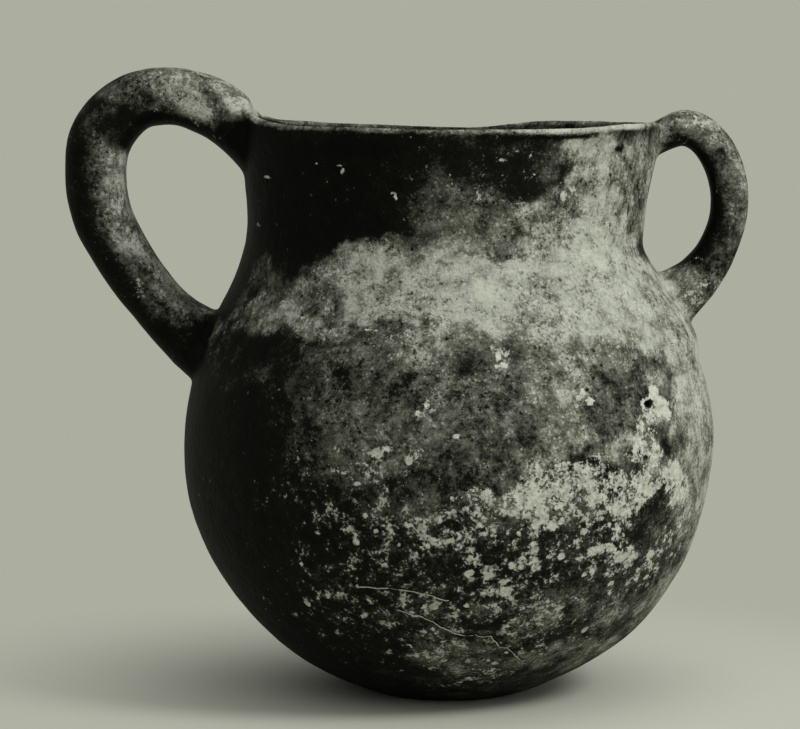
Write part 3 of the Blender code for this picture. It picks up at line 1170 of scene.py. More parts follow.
# How pale the burnished slip is, from 0 for smoke-black to 1 for bare pale slip
BARE_TONE = 0.14
PALE_MARKS = marks(
    # the smoke cloud over the left half and the neck
    (-80, 120, 50, 110, 0.03, 0.5),
    (-45, 60, 30, 60, 0.05, 0.5),
    (-44, 213, 50, 26, 0.01, 0.3),
    (5, 216, 30, 14, 0.06, 0.8),
    (3, 196, 14, 6, 0.24, 0.7),
    (3, 192, 9, 5, 0.20),
    # the grey middle of the belly
    (-2, 132, 30, 27, 0.38),
    (-22, 108, 11, 9, 0.32),
    (-12, 118, 9, 13, 0.46),
    (-3, 149, 11, 9, 0.50),
    (-17, 139, 10, 12, 0.36),
    (-30, 145, 6, 8, 0.18),
    (24, 145, 6, 15, 0.62),
    (28, 133, 5, 9, 0.62),
    (3, 112, 9, 9, 0.28),
    (23, 118, 7, 7, 0.60),
    (12, 115, 6, 5, 0.42),
    (33, 109, 4, 4, 0.50),
    (37, 110, 4, 5, 0.60),
    (41, 115, 3, 5, 0.52),
    (49, 105, 5, 4, 0.72),
    (54, 101, 3, 5, 0.70),
    (37, 130, 7, 12, 0.40),
    (43, 141, 4, 6, 0.30),
    (43, 124, 3, 3, 0.52),
    # the pale wedge of the shoulder
    (-47, 168, 18, 10, 0.32, 0.7),
    (-33, 178, 10, 4.5, 0.50),
    (-25, 186, 9, 4.5, 0.52),
    (-16, 190, 5, 3, 0.32),
    (-21, 174, 15, 9, 0.70),
    (-16, 165, 7, 4, 0.66),
    (-6, 163, 4, 3, 0.74),
    (-10, 177, 16, 10.5, 0.72, 0.7),
    (5, 174, 21, 12, 0.75, 0.7),
    (22, 174, 23, 18, 0.76, 0.7),
    (38, 178, 20, 24, 0.76, 0.5),
    (52, 183, 15, 34, 0.76, 0.5),
    (-7, 190.5, 8, 4.5, 0.24),
    (62, 165, 20, 28, 0.77),
    (61, 122, 5, 9, 0.77),
    (58, 110, 5, 6, 0.30),
    (50, 118, 4, 8, 0.58),
    (16, 156, 9, 4.5, 0.64),
    (10, 145, 6, 4, 0.30),
    (33, 150, 7, 6, 0.55),
    (36, 143, 4, 5, 0.40),
    (21, 106, 5, 6, 0.54),
    (21, 38, 7, 4, 0.36),
    (75, 150, 20, 50, 0.73),
    (85, 120, 22, 60, 0.69),
    (54, 138, 6, 6, 0.36),
    (52, 113.5, 3, 5, 0.18),
    # neck, from the grey haze to the mottled right end
    (-1, 208, 9, 10, 0.26, 0.8),
    (8, 214, 5, 5, 0.12),
    (13, 202, 13, 6, 0.36, 0.8),
    (27, 203, 11, 6.5, 0.56, 0.7),
    (12, 188, 6, 3, 0.54),
    (21, 191, 4, 4, 0.60),
    (21, 207, 5, 4, 0.10),
    (47, 210, 9, 22, 0.70),
    (41, 230, 8, 7, 0.80),
    (38, 214, 3, 4, 0.70),
    (29, 219, 4, 7, 0.22),
    (66, 216, 10, 20, 0.52, 0.5),
    (47, 227, 5, 8, 0.76),
    (57, 229, 4, 5, 0.74),
    (57, 190, 4, 10, 0.68),
    (66, 205, 2.4, 14, 0.42),
    (84, 212, 12, 26, 0.62, 0.5),
    (19, 225, 7, 4, 0.18),
    # mottled left shoulder
    (-57, 163, 6, 6, 0.52),
    (-50, 161, 6, 6, 0.44),
    (-43, 161, 9, 6, 0.58),
    (-32, 157, 9, 5, 0.60),
    (-24, 143, 5, 5, 0.36),
    (-31, 139, 5, 5, 0.16),
    (-68, 155, 8, 5, 0.36),
    (-60, 178, 8, 6, 0.24),
    (-48, 135, 6, 5, 0.22),
    (-64, 147, 10, 8, 0.14, 0.8),
    (-56, 138, 6, 8, 0.12, 0.8),
    (-60, 98, 8, 10, 0.09, 0.8),
    # lower belly and base
    (72, 78, 18, 34, 0.69, 0.5),
    (45, 60, 22, 22, 0.19, 0.5),
    (70, 44, 16, 10, 0.58, 0.5),
    (23, 48, 14, 6, 0.44),
    (-8, 46, 12, 6, 0.25),
    (2, 28, 12, 8, 0.36),
    (45, 24, 26, 9, 0.48, 0.5),
    (14, 92, 26, 9, 0.34, 0.6),
    (35, 48, 7, 6, 0.28, 0.6),
    (47, 43, 6, 6, 0.54),
    # the back
    (120, 150, 28, 46, 0.72, 0.5),
    (150, 176, 30, 12, 0.76, 0.6),
    (185, 182, 26, 7, 0.60, 0.6),
    (236, 178, 16, 12, 0.30, 0.6),
    (252, 128, 12, 18, 0.20, 0.6),
    (140, 96, 16, 18, 0.46, 0.6),
    (172, 128, 18, 22, 0.34, 0.6),
    (205, 150, 18, 14, 0.24, 0.6),
    (220, 96, 26, 30, 0.10, 0.6),
    (196, 62, 18, 14, 0.34, 0.6),
    (128, 48, 22, 14, 0.40, 0.6),
    (140, 214, 22, 14, 0.40, 0.6),
    (180, 212, 18, 10, 0.16, 0.6),
)

# How much of the surface the lime crust covers, from 0 to 1
LIME_MARKS = marks(
    (0, 210, 60, 28, 0.10, 0.7),
    (20, 215, 30, 20, 0.22, 0.7),
    (0, 110, 70, 40, 0.16, 0.7),
    (10, 52, 60, 40, 0.41, 0.7),
    (-75, 110, 30, 90, 0.03),
    (-53, 98, 9, 9, 0.09, 0.8),
    (-33, 96, 6, 12, 0.34),
    (-20, 85, 7, 7, 0.54),
    (-17, 103, 5, 5, 0.48),
    (-10, 88, 9, 7, 0.50),
    (-8, 112, 8, 6, 0.36),
    (-50, 165, 13, 10, 0.34, 0.7),
    (-68, 155, 9, 5, 0.34, 0.7),
    (-28, 157, 14, 7, 0.36, 0.7),
    (-8, 152, 14, 7, 0.30, 0.7),
    (-5, 130, 4, 5, 0.48),
    (2, 88, 9, 9, 0.58),
    (5, 93, 3, 6, 0.60),
    (14, 91, 9, 9, 0.70),
    (19, 103, 6, 4, 0.66),
    (31, 104, 5, 4, 0.64),
    (22, 93, 10, 8, 0.76),
    (34, 94, 10, 8, 0.72),
    (45, 98, 5, 7, 0.84),
    (42, 92, 4, 5, 0.74),
    (37, 82, 5, 5, 0.60),
    (46, 113, 4.5, 9, 0.76),
    (53, 102, 4, 4, 0.88),
    (57, 91, 5.2, 11, 0.86),
    (50, 127, 4.5, 5, 0.90),
    (47.5, 115, 4, 8, 0.70),
    (49, 86, 4.4, 7, 0.14),
    (55, 112, 4, 5, 0.12),
    (30, 84, 6, 5, 0.50),
    (29, 78, 3, 2.4, 0.2),
    (-2, 91, 4, 3, 0.24),
    (8, 101.5, 5, 3, 0.24),
    (16, 81, 6, 4, 0.78),
    (4, 86, 5, 4, 0.58),
    (11, 84, 3, 3, 0.30),
    (1, 67, 4, 6, 0.56),
    (23, 62, 5, 4, 0.54),
    (-8, 80, 8, 5, 0.48),
    (-12, 69, 6, 5, 0.44),
    (-3, 76, 6, 6, 0.46),
    (-4, 65, 7, 5, 0.40),
    (20, 40, 7, 4, 0.48),
    (38, 46, 7, 5, 0.30),
    (23, 74, 14, 5, 0.40),
    (36, 70, 4, 4, 0.60),
    (42, 68, 3.4, 6, 0.62),
    (52, 64, 4, 8, 0.62),
    (13, 58, 3, 8, 0.52),
    (6, 64, 3, 3, 0.62),
    (16, 70, 3, 4, 0.62),
    (24, 48, 6, 4, 0.50),
    (29, 52, 4, 3, 0.14),
    (-8, 48, 8, 3, 0.46),
    (0, 30, 5, 5, 0.56),
    (10, 17, 12, 4, 0.46),
    (62, 72, 7, 12, 0.48),
    (12, 146, 3, 3, 0.66),
    (29, 132, 3, 4, 0.48),
    (130, 110, 14, 14, 0.52),
    (150, 86, 16, 8, 0.56),
    (168, 96, 10, 7, 0.52),
    (190, 78, 14, 8, 0.46),
    (215, 128, 8, 8, 0.40),
    (118, 70, 12, 12, 0.46),
)

# Single spots and chips, which keep their place
LIME_SPOTS = marks(
    (-14.6, 211.2, 0.9, 1.3, 1.0),
    (-14.0, 209.8, 0.6, 0.8, 1.0),
    (-30.6, 221.5, 0.9, 0.4, 0.8),
    (-29.4, 219.4, 0.35, 1.2, 0.8),
    (-37.2, 222.6, 0.5, 0.5, 0.74),
    (-17.4, 222.2, 0.9, 0.5, 0.7),
    (-60.5, 215.2, 1.8, 0.7, 0.7),
    (-68.0, 197.2, 2.2, 0.6, 0.6),
    (14.5, 223.5, 1.6, 0.6, 0.7),
    (19.0, 226.5, 1.0, 1.0, 0.8),
    (33.4, 208.4, 1.2, 1.9, 0.9),
    (36.4, 210.4, 1.0, 1.4, 0.8),
    (11.2, 147.2, 0.9, 1.7, 0.95),
    (13.0, 144.4, 1.1, 1.8, 0.9),
    (10.9, 143.6, 0.8, 1.5, 0.8),
    (-4.6, 131.0, 0.9, 1.9, 0.85),
    (-3.2, 127.6, 0.7, 1.4, 0.8),
    (-6.4, 127.2, 0.6, 1.2, 0.8),
    (2.0, 117.6, 0.6, 1.2, 0.9),
    (29.0, 133.2, 0.9, 2.1, 0.95),
    (30.8, 130.2, 0.9, 1.6, 0.9),
    (27.8, 129.0, 1.0, 1.6, 0.7),
    (-14.5, 111.5, 2.0, 1.6, 0.8),
    (-12.0, 113.6, 1.2, 1.6, 0.8),
    (-17.6, 107.0, 1.4, 1.0, 0.7),
    (-18.4, 100.2, 1.2, 0.7, 0.8),
    (4.6, 64.0, 1.0, 1.3, 0.95),
    (9.0, 63.2, 1.1, 1.4, 0.95),
    (15.6, 69.6, 1.2, 1.2, 0.9),
    (18.2, 72.2, 1.1, 1.2, 0.9),
    (13.8, 66.4, 1.1, 1.4, 0.8),
    (12.6, 60.2, 1.2, 1.5, 0.85),
    (13.4, 55.6, 1.5, 2.6, 0.8),
    (22.4, 70.0, 1.0, 0.9, 0.8),
    (27.0, 68.0, 0.8, 0.9, 0.8),
    (0.6, 77.2, 0.8, 0.8, 0.9),
    (7.0, 79.6, 0.9, 1.2, 0.8),
    (34.0, 71.0, 2.2, 2.0, 0.85),
    (37.6, 72.2, 2.0, 2.2, 0.9),
    (41.4, 67.6, 1.6, 3.2, 0.9),
    (43.6, 70.6, 1.6, 2.0, 0.9),
    (51.6, 66.4, 1.6, 3.0, 0.85),
    (-28.8, 79.0, 0.8, 0.8, 0.7),
    (-36.0, 92.6, 1.6, 0.8, 0.6),
    (30.0, 79.0, 1.2, 1.2, 0.85),
    (49.4, 131.0, 2.0, 4.4, 0.95),
    (51.6, 126.8, 2.6, 3.8, 1.0),
    (53.4, 123.2, 1.8, 2.6, 0.9),
    (46.4, 128.6, 1.6, 2.0, 0.9),
    (137, 131, 2.2, 2.4, 0.9),
    (186, 120, 1.6, 1.4, 0.8),
    (204, 167, 1.8, 1.2, 0.8),
    (228, 142, 1.6, 1.8, 0.8),
)

# Dark pits that nothing light covers
DARK_SPOTS = marks(
    (47.2, 127.6, 1.3, 1.3, 1.0, 0.5),
    (-14.9, 211.0, 0.5, 0.5, 1.0, 0.5),
    (52.6, 228.4, 1.7, 0.9, 0.8, 0.5),
    (49.8, 216.4, 0.5, 0.8, 0.9, 0.5),
    (61.0, 203.0, 0.6, 2.4, 0.7, 0.5),
    (30.4, 134.2, 0.6, 0.7, 0.9, 0.5),
    (33.2, 143.4, 0.5, 0.6, 0.8, 0.5),
    (151, 84, 1.2, 1.3, 1.0, 0.5),
    (205, 140, 1.2, 1.4, 0.9, 0.5),
)

HANDLE_TONE = 0.32
HANDLE_DABS = dabs(
    # large handle, from its outer edge and limb to the crown, with painted light and painted shade on them
    # painted light: the limb is paler on its inner side, which faces the lamp
    (-134.5, 0, 214, 8, 30, 18, 0.60),
    (-130, -6, 197, 10, 30, 14, 0.62),
    (-123.5, 0, 187, 8.5, 30, 12, 0.56),
    (-117, -8, 174, 10, 30, 10, 0.58),
    (-111, -8, 167, 9, 30, 8, 0.68),
    (-104, -10, 162, 8, 20, 6, 0.50),
    # partly darker clay, partly painted shade: the outer edge, which faces away from the lamp
    (-158, 0, 222, 12, 30, 26, 0.05),
    (-152, 0, 198, 10, 30, 20, 0.06),
    (-144, 0, 180, 9, 30, 17, 0.06),
    (-134, 0, 162, 10, 30, 16, 0.06),
    (-121, 0, 146, 10, 30, 14, 0.04),
    (-144, 0, 251, 13, 30, 8, 0.06),
    (-137, 0, 255, 10, 30, 5, 0.14),
    (-141, 0, 235, 10, 30, 9, 0.16),
    # painted shade under the arch, where the limb turns down from the crown
    (-133, 0, 231, 8, 30, 5, 0.08),
    (-112, 0, 256, 17, 30, 8, 0.54),
    (-133, 0, 249, 10, 30, 6, 0.28),
    (-111, -10, 249.5, 9, 14, 4.5, 0.54),
    (-114, -12, 244, 6, 14, 3, 0.32),
    (-101, -10, 246, 8.5, 16, 7, 0.70),
    # painted shade on the underside of the crown
    (-121, 0, 238.4, 22, 30, 5.6, 0.05),
    (-108, 0, 236.5, 12, 30, 3.6, 0.06),
    (-104, 0, 233, 14, 30, 5, 0.04),
    # the smooth pale slope from the crown to the lip, and the dark front face below it
    (-96, 0, 256, 9, 30, 5, 0.42),
    (-89, 0, 250, 8, 34, 6.5, 0.55),
    (-94, -8, 246, 3.5, 20, 6, 0.38),
    (-83, 0, 242, 9, 34, 4.5, 0.80),
    (-90, -18, 234, 5, 12, 6, 0.03),
    (-84, -20, 233, 7, 14, 7, 0.02),
    (-88, -8, 222, 9, 34, 12, 0.02),
    (-104, 0, 145, 10, 34, 11, 0.06),
    # small handle: mottled crown and back, with painted shade on the inner face and under the crown
    (100, 0, 242, 15, 16, 7, 0.58),
    (115, 0, 233, 9, 16, 9, 0.60),
    (121, 0, 221, 7, 16, 15, 0.56),
    (121, -4, 203, 7, 16, 14, 0.44),
    # painted shade: the inner face, which faces away from the lamp, and the underside of the crown
    (106.6, 0, 213, 5.2, 16, 13, 0.03),
    (106.6, 0, 200, 6, 16, 13, 0.06),
    (101.4, 0, 188, 6.4, 16, 9, 0.03),
    (97, 0, 228, 10, 16, 4.2, 0.04),
    (104.4, 0, 222, 5, 16, 5, 0.04),
    (117, 0, 187, 8, 16, 8, 0.26),
    (103, -4, 172, 9, 16, 8, 0.52),
    (89, 0, 233, 5, 14, 6, 0.58),
)
HANDLE_LIME = dabs(
    (-104, -12, 248.5, 8, 12, 4.5, 0.50),
    (-118, -12, 249, 12, 12, 7, 0.20),
    (-136, -12, 198, 14, 12, 18, 0.20),
    (-122, -12, 172, 12, 12, 12, 0.34),
    (103, -8, 170, 8, 10, 8, 0.56),
    (100, -8, 239, 10, 10, 5, 0.44),
)


@dataclass
class Weathering:
    """Works out, for each point of a piece, how pale and how crusted it is."""

    wall: Wall
    wander: float = 1.0
    handle_wander: float = 0.5
    inside_tone: float = 0.22
    crack_reach: float = 3 * MM

    @property
    def profile(self) -> WallProfile:
        """The wall's profile."""
        return self.wall.profile

    def wandered(self, points: np.ndarray) -> np.ndarray:
        """Shifts points by soft noise, so that no patch has a drawn edge."""
        shifts = np.empty_like(points)
        for row, point in enumerate(points):
            place = Vector(point)
            coarse = noise.noise_vector(place / (22 * MM))
            middle = noise.noise_vector(place / (8 * MM))
            fine = noise.noise_vector(place / (3 * MM))
            shifts[row] = coarse * 7.0 + middle * 4.5 + fine * 2.0
        return points + shifts * MM * self.wander

    def build(self, piece: bpy.types.Object) -> None:
        """Writes the paleness, the lime and the cracks of a piece.

        Args:
            piece: the object to paint.
        """
        true_points = points_of(piece)
        points = self.wandered(true_points)
        azimuths = azimuth_of(points)
        heights = points[:, 2] / MM
        pale = np.full(len(points), BARE_TONE)
        lime = np.zeros(len(points))
        for mark in PALE_MARKS:
            cover = mark.cover(azimuths, heights)
            pale += (mark.tone - pale) * cover
        for mark in LIME_MARKS:
            cover = mark.cover(azimuths, heights)
            lime += (mark.tone - lime) * cover
        near_points = true_points + (points - true_points) * 0.22
        near_azimuths = azimuth_of(near_points)
        near_heights = near_points[:, 2] / MM
        for mark in LIME_SPOTS:
            lime = np.maximum(lime, mark.tone * mark.cover(near_azimuths, near_heights) * 1.15)
        pale, lime = self.trim_lip(true_points, pale, lime)
        for mark in DARK_SPOTS:
            left = 1.0 - mark.tone * mark.cover(near_azimuths, near_heights)
            pale *= left
            lime *= left
        outer, thickness = beside_wall(true_points, self.profile)
        radii = np.hypot(true_points[:, 0], true_points[:, 1])
        near_plane = smoothstep(34 * MM, 26 * MM, np.abs(true_points[:, 1]))
        off_wall = smoothstep(3 * MM, 9 * MM, radii - outer) * near_plane
        pale += (HANDLE_TONE - pale) * off_wall
        lime += (0.12 - lime) * off_wall
        reach = smoothstep(-2 * MM, 3 * MM, radii - outer) * near_plane
        reach = np.maximum(reach, smoothstep(238.5 * MM, 241 * MM, true_points[:, 2]))
        scaled = (true_points + (points - true_points) * self.handle_wander) / MM
        for dab in HANDLE_DABS:
            pale += (dab.tone - pale) * dab.cover(scaled) * reach
        for dab in HANDLE_LIME:
            lime += (dab.tone - lime) * dab.cover(scaled) * reach
        inside = smoothstep(0.35, 0.65, (outer - radii) / thickness)
        top = self.profile.rim_height
        inside *= smoothstep(top - 0.5 * MM, top - 3 * MM, true_points[:, 2])
        pale += (self.inside_tone - pale) * inside
        lime *= 1.0 - inside
        self.trace_cracks(piece, true_points, inside)
        self.write(piece, "paleness", pale)
        self.write(piece, "lime", lime)

    def trace_cracks(self, piece: bpy.types.Object, points: np.ndarray, inside: np.ndarray) -> None:
        """Writes how near the nearest crack is, and how far to one side of it each point lies.

        Args:
            piece: the object to paint.
            points: its points.
            inside: 1 where a point is on the inside of the wall.
        """
        nearness = np.zeros(len(points))
        side = np.ones(len(points))
        for crack in CRACKS:
            rough = np.nonzero(beside_line(points, crack, self.profile)[0] < 5 * MM)[0]
            if len(rough) == 0:
                continue
            away, offset = beside_line(ragged(points[rough], crack.jag), crack, self.profile)
            near = 1.0 - away / self.crack_reach
            nearer = near > nearness[rough]
            chosen = rough[nearer]
            nearness[chosen] = near[nearer]
            side[chosen] = 0.5 + 0.5 * offset[nearer] / self.crack_reach
        self.write(piece, "crack_near", nearness * (1.0 - inside))
        self.write(piece, "crack_side", side)

    def trim_lip(
        self, points: np.ndarray, pale: np.ndarray, lime: np.ndarray
    ) -> tuple[np.ndarray, np.ndarray]:
        """Paints the top of the lip paler, partly as worn slip and partly as a painted highlight, and a painted
        shadow in the hollow under the lip.

        Args:
            points: rows of X, Y and Z.
            pale: paleness so far.
            lime: cover of lime so far.

        Returns:
            Paleness and lime with the lip on them.
        """
        azimuths = azimuth_of(points)
        lift = sum(wave.amount(azimuths) for wave in self.wall.waves)
        drop = (self.profile.rim_height + lift - points[:, 2]) / MM
        # the lip's top is painted paler, partly as worn slip and partly as a painted highlight where it catches the
        # light
        right = smoothstep(36.0, 16.0, np.abs(turn_between(azimuths, 42.0)))
        left = smoothstep(26.0, 12.0, np.abs(turn_between(azimuths, -78.0)))
        worn = smoothstep(0.9, 0.0, drop - 1.3 - 0.7 * right - 0.4 * left)
        tone = 0.44 + 0.40 * right + 0.28 * left
        pale = pale + (tone - pale) * worn
        # painted shadow in the hollow under the overhanging lip, on the front right
        hollow = smoothstep(2.4, 3.0, drop) * smoothstep(4.8, 3.8, drop)
        hollow *= smoothstep(18.0, 9.0, np.abs(turn_between(azimuths, 28.0)))
        pale = pale + (0.03 - pale) * hollow
        lime = lime * (1.0 - hollow)
        return pale, lime

    @staticmethod
    def write(piece: bpy.types.Object, name: str, values: np.ndarray) -> None:
        """Stores one number for each point of a piece."""
        layer = piece.data.attributes.new(name, "FLOAT", "POINT")
        layer.data.foreach_set("value", np.clip(values, 0.0, 1.0).astype(np.float32))


# Finishes


def linear(hex_colour: str) -> tuple[float, float, float, float]:
    """Turns a written sRGB colour into the linear one that the shader works with.

    Args:
        hex_colour: the colour as #rrggbb.

    Returns:
        Red, green, blue and a full alpha, all linear.
    """
    parts = [int(hex_colour[place : place + 2], 16) / 255 for place in (1, 3, 5)]
    values = [part / 12.92 if part <= 0.04045 else ((part + 0.055) / 1.055) ** 2.4 for part in parts]
    return (values[0], values[1], values[2], 1.0)


def add(tree: bpy.types.NodeTree, kind: str, sockets: dict | None = None, **settings: object) -> bpy.types.Node:
    """Adds a node, sets its options, and sets or links its inputs.

    Args:
        tree: the material's or the world's node tree.
        kind: Blender's name for the node.
        sockets: for each input, by name or number, a value or the output to link.
        settings: the node's own options.

    Returns:
        The node.
    """
    node = tree.nodes.new(kind)
    for name, value in settings.items():
        setattr(node, name, value)
    for key, value in (sockets or {}).items():
        if isinstance(value, bpy.types.NodeSocket):
            tree.links.new(value, node.inputs[key])
        else:
            node.inputs[key].default_value = value
    return node


@dataclass(frozen=True)
class SmokedClay:
    """Burnished earthenware, smoke-blackened in the firing, with worn slip and lime crust.

    The pot was rubbed with a pebble before firing, so the dark slip has a faint satin sheen and
    level streaks. Where it is worn or less smoked it is pale and dull, and the lime that it took
    up in the ground stands on it as chalky, matt, sharp-edged spots.
    """

    name: str
    tones: tuple[tuple[float, str], ...] = (
        (0.0, "#040503"),
        (0.15, "#12130d"),
        (0.35, "#42433b"),
        (0.55, "#6b6c60"),
        (0.75, "#9a9d91"),
        (1.0, "#b2b5a6"),
    )
    lime_colour: str = "#bbbeaf"
    cloud_size: float = 24 * MM
    mottle_size: float = 7 * MM
    fleck_size: float = 2.2 * MM
    grain_size: float = 0.8 * MM
    crust_size: float = 5 * MM
    spot_spacing: float = 5 * MM
    flake_size: float = 1.5 * MM
    grain_spacing: float = 1.6 * MM
    pit_spacing: float = 2.6 * MM
    clay_ior: float = 1.5
    satin: float = 0.58
    dull: float = 0.78
    sheen_level: float = 0.05

    def build(self) -> bpy.types.Material:
        """Makes the material.

        Returns:
            The material, ready to be put on a piece.
        """
        material = bpy.data.materials.new(self.name)
        material.use_nodes = True
        tree = material.node_tree
        tree.nodes.clear()
        place = add(tree, "ShaderNodeTexCoord").outputs["Object"]
        pale = self.read(tree, "paleness")
        lime = self.read(tree, "lime")
        tone = self.dusted(tree, place, self.tone(tree, place, pale), lime)
        crust = self.crust_mask(tree, place, lime)
        sockets = {"Value": lime, "From Min": 0.26, "From Max": 0.85}
        often = add(tree, "ShaderNodeMapRange", sockets).outputs[0]
        spots = self.spots(tree, place, self.spot_spacing, (0.06, 0.38), often)
        mask = add(tree, "ShaderNodeMath", {0: crust, 1: spots}, operation="MAXIMUM").outputs[0]
        colour = self.colour(tree, place, tone, mask)
        bump = self.relief(tree, place, tone, mask)
        roughness = add(
            tree,
            "ShaderNodeMapRange",
            {"Value": tone, "From Min": 0.0, "From Max": 0.9, "To Min": self.satin, "To Max": self.dull},
        ).outputs[0]
        roughness = add(
            tree, "ShaderNodeMix", {0: mask, 2: roughness, 3: 0.92}, data_type="FLOAT"
        ).outputs[0]
        shader = add(
            tree,
            "ShaderNodeBsdfPrincipled",
            {
                "Base Color": colour,
                "Roughness": roughness,
                "Normal": bump,
                "IOR": self.clay_ior,
                "Specular IOR Level": self.sheen_level,
            },
        )
        add(tree, "ShaderNodeOutputMaterial", {"Surface": shader.outputs[0]})
        return material

    @staticmethod
    def read(tree: bpy.types.NodeTree, name: str) -> bpy.types.NodeSocket:
        """Reads a painted attribute of the piece."""
        node = add(tree, "ShaderNodeAttribute", attribute_type="GEOMETRY", attribute_name=name)
        return node.outputs["Fac"]

    @staticmethod
    def grain(
        tree: bpy.types.NodeTree, place: bpy.types.NodeSocket, size: float, detail: float, rough: float = 0.55
    ) -> bpy.types.NodeSocket:
        """Noise whose lumps have a real size, in metres."""
        sockets = {"Vector": place, "Scale": 1.0 / size, "Detail": detail, "Roughness": rough}
        return add(tree, "ShaderNodeTexNoise", sockets).outputs[0]

    @staticmethod
    def sums(
        tree: bpy.types.NodeTree, start: bpy.types.NodeSocket | float, *terms: tuple[bpy.types.NodeSocket, float]
    ) -> bpy.types.NodeSocket:
        """Adds each noise, taken about its middle and weighted, to a start value."""
        total = start
        for source, weight in terms:
            centred = add(tree, "ShaderNodeMath", {0: source, 1: 0.5}, operation="SUBTRACT").outputs[0]
            sockets = {0: centred, 1: weight, 2: total}
            total = add(tree, "ShaderNodeMath", sockets, operation="MULTIPLY_ADD").outputs[0]
        return total

    def tone(
        self, tree: bpy.types.NodeTree, place: bpy.types.NodeSocket, pale: bpy.types.NodeSocket
    ) -> bpy.types.NodeSocket:
        """Breaks the painted paleness up into clouds, mottling, flecks and burnishing streaks."""
        level = add(tree, "ShaderNodeMapping", {"Vector": place, "Scale": (1.0, 1.0, 5.0)}).outputs[0]
        noise_sum = self.sums(
            tree,
            0.0,
            (self.grain(tree, place, self.cloud_size, 3.0), 1.1),
            (self.grain(tree, place, self.mottle_size, 4.0, 0.55), 1.5),
            (self.grain(tree, place, self.fleck_size, 4.0, 0.6), 0.9),
            (self.grain(tree, level, 9 * MM, 4.0, 0.6), 0.4),
        )
        spare = add(tree, "ShaderNodeMath", {0: 1.0, 1: pale}, operation="SUBTRACT").outputs[0]
        busy = add(tree, "ShaderNodeMath", {0: pale, 1: spare}, operation="MULTIPLY").outputs[0]
        busy = add(tree, "ShaderNodeMath", {0: busy, 1: 2.9, 2: 0.02}, operation="MULTIPLY_ADD").outputs[0]
        tone = add(tree, "ShaderNodeMath", {0: noise_sum, 1: busy, 2: pale}, operation="MULTIPLY_ADD").outputs[0]
        fine = self.grain(tree, place, self.grain_size, 2.0)
        fine = add(tree, "ShaderNodeMath", {0: fine, 1: 0.5}, operation="SUBTRACT").outputs[0]
        fine = add(tree, "ShaderNodeMath", {0: fine, 1: busy}, operation="MULTIPLY").outputs[0]
        tone = add(tree, "ShaderNodeMath", {0: fine, 1: 0.7, 2: tone}, operation="MULTIPLY_ADD").outputs[0]
        tone = self.specks(tree, place, tone)
        tone = self.scratches(tree, place, tone)
        return self.cracks(tree, place, tone)

    def specks(
        self, tree: bpy.types.NodeTree, place: bpy.types.NodeSocket, tone: bpy.types.NodeSocket
    ) -> bpy.types.NodeSocket:
        """Darkens small pits where the pale slip has flaked, and lights single grains in the dark."""
        loose = self.grain(tree, place, 20 * MM, 3.0)
        sockets = {"Value": loose, "From Min": 0.45, "From Max": 0.55, "To Min": 0.15, "To Max": 1.0}
        loose = add(tree, "ShaderNodeMapRange", sockets).outputs[0]
        flakes = self.grain(tree, place, self.flake_size, 3.0, 0.7)
        sockets = {"Value": flakes, "From Min": 0.46, "From Max": 0.40}
        flakes = add(tree, "ShaderNodeMapRange", sockets).outputs[0]
        flakes = add(tree, "ShaderNodeMath", {0: flakes, 1: loose}, operation="MULTIPLY").outputs[0]
        pits = self.spots(tree, place, self.pit_spacing, (0.08, 0.36), 0.13)
        pits = add(tree, "ShaderNodeMath", {0: flakes, 1: pits}, operation="MAXIMUM").outputs[0]
        sockets = {"Value": tone, "From Min": 0.45, "From Max": 0.85, "To Min": -0.6, "To Max": -0.16}
        deep = add(tree, "ShaderNodeMapRange", sockets).outputs[0]
        deep = add(tree, "ShaderNodeMath", {0: tone, 1: deep}, operation="MULTIPLY").outputs[0]
        tone = add(tree, "ShaderNodeMath", {0: pits, 1: deep, 2: tone}, operation="MULTIPLY_ADD").outputs[0]
        grains = self.spots(tree, place, self.grain_spacing, (0.15, 0.45), 0.5)
        sockets = {"Value": tone, "From Min": 0.02, "From Max": 0.3, "To Min": 0.03, "To Max": 0.17}
        lift = add(tree, "ShaderNodeMapRange", sockets).outputs[0]
        return add(tree, "ShaderNodeMath", {0: grains, 1: lift, 2: tone}, operation="MULTIPLY_ADD").outputs[0]

    def scratches(
        self, tree: bpy.types.NodeTree, place: bpy.types.NodeSocket, tone: bpy.types.NodeSocket
    ) -> bpy.types.NodeSocket:
        """Draws hairline scratches, dark on the pale slip and light on the dark."""
        field = self.grain(tree, place, 13 * MM, 1.5)
        from_line = add(tree, "ShaderNodeMath", {0: field, 1: 0.5}, operation="SUBTRACT").outputs[0]
        from_line = add(tree, "ShaderNodeMath", {0: from_line}, operation="ABSOLUTE").outputs[0]
        sockets = {"Value": from_line, "From Min": 0.0, "From Max": 0.009, "To Min": 1.0, "To Max": 0.0}
        line = add(tree, "ShaderNodeMapRange", sockets).outputs[0]
        patches = self.grain(tree, place, 6 * MM, 2.0)
        sockets = {"Value": patches, "From Min": 0.5, "From Max": 0.6, "To Min": 0.0, "To Max": 1.0}
        broken = add(tree, "ShaderNodeMapRange", sockets).outputs[0]
        line = add(tree, "ShaderNodeMath", {0: line, 1: broken}, operation="MULTIPLY").outputs[0]
        sockets = {"Value": tone, "From Min": 0.1, "From Max": 0.7, "To Min": 0.16, "To Max": -0.30}
        shift = add(tree, "ShaderNodeMapRange", sockets).outputs[0]
        return add(tree, "ShaderNodeMath", {0: line, 1: shift, 2: tone}, operation="MULTIPLY_ADD").outputs[0]

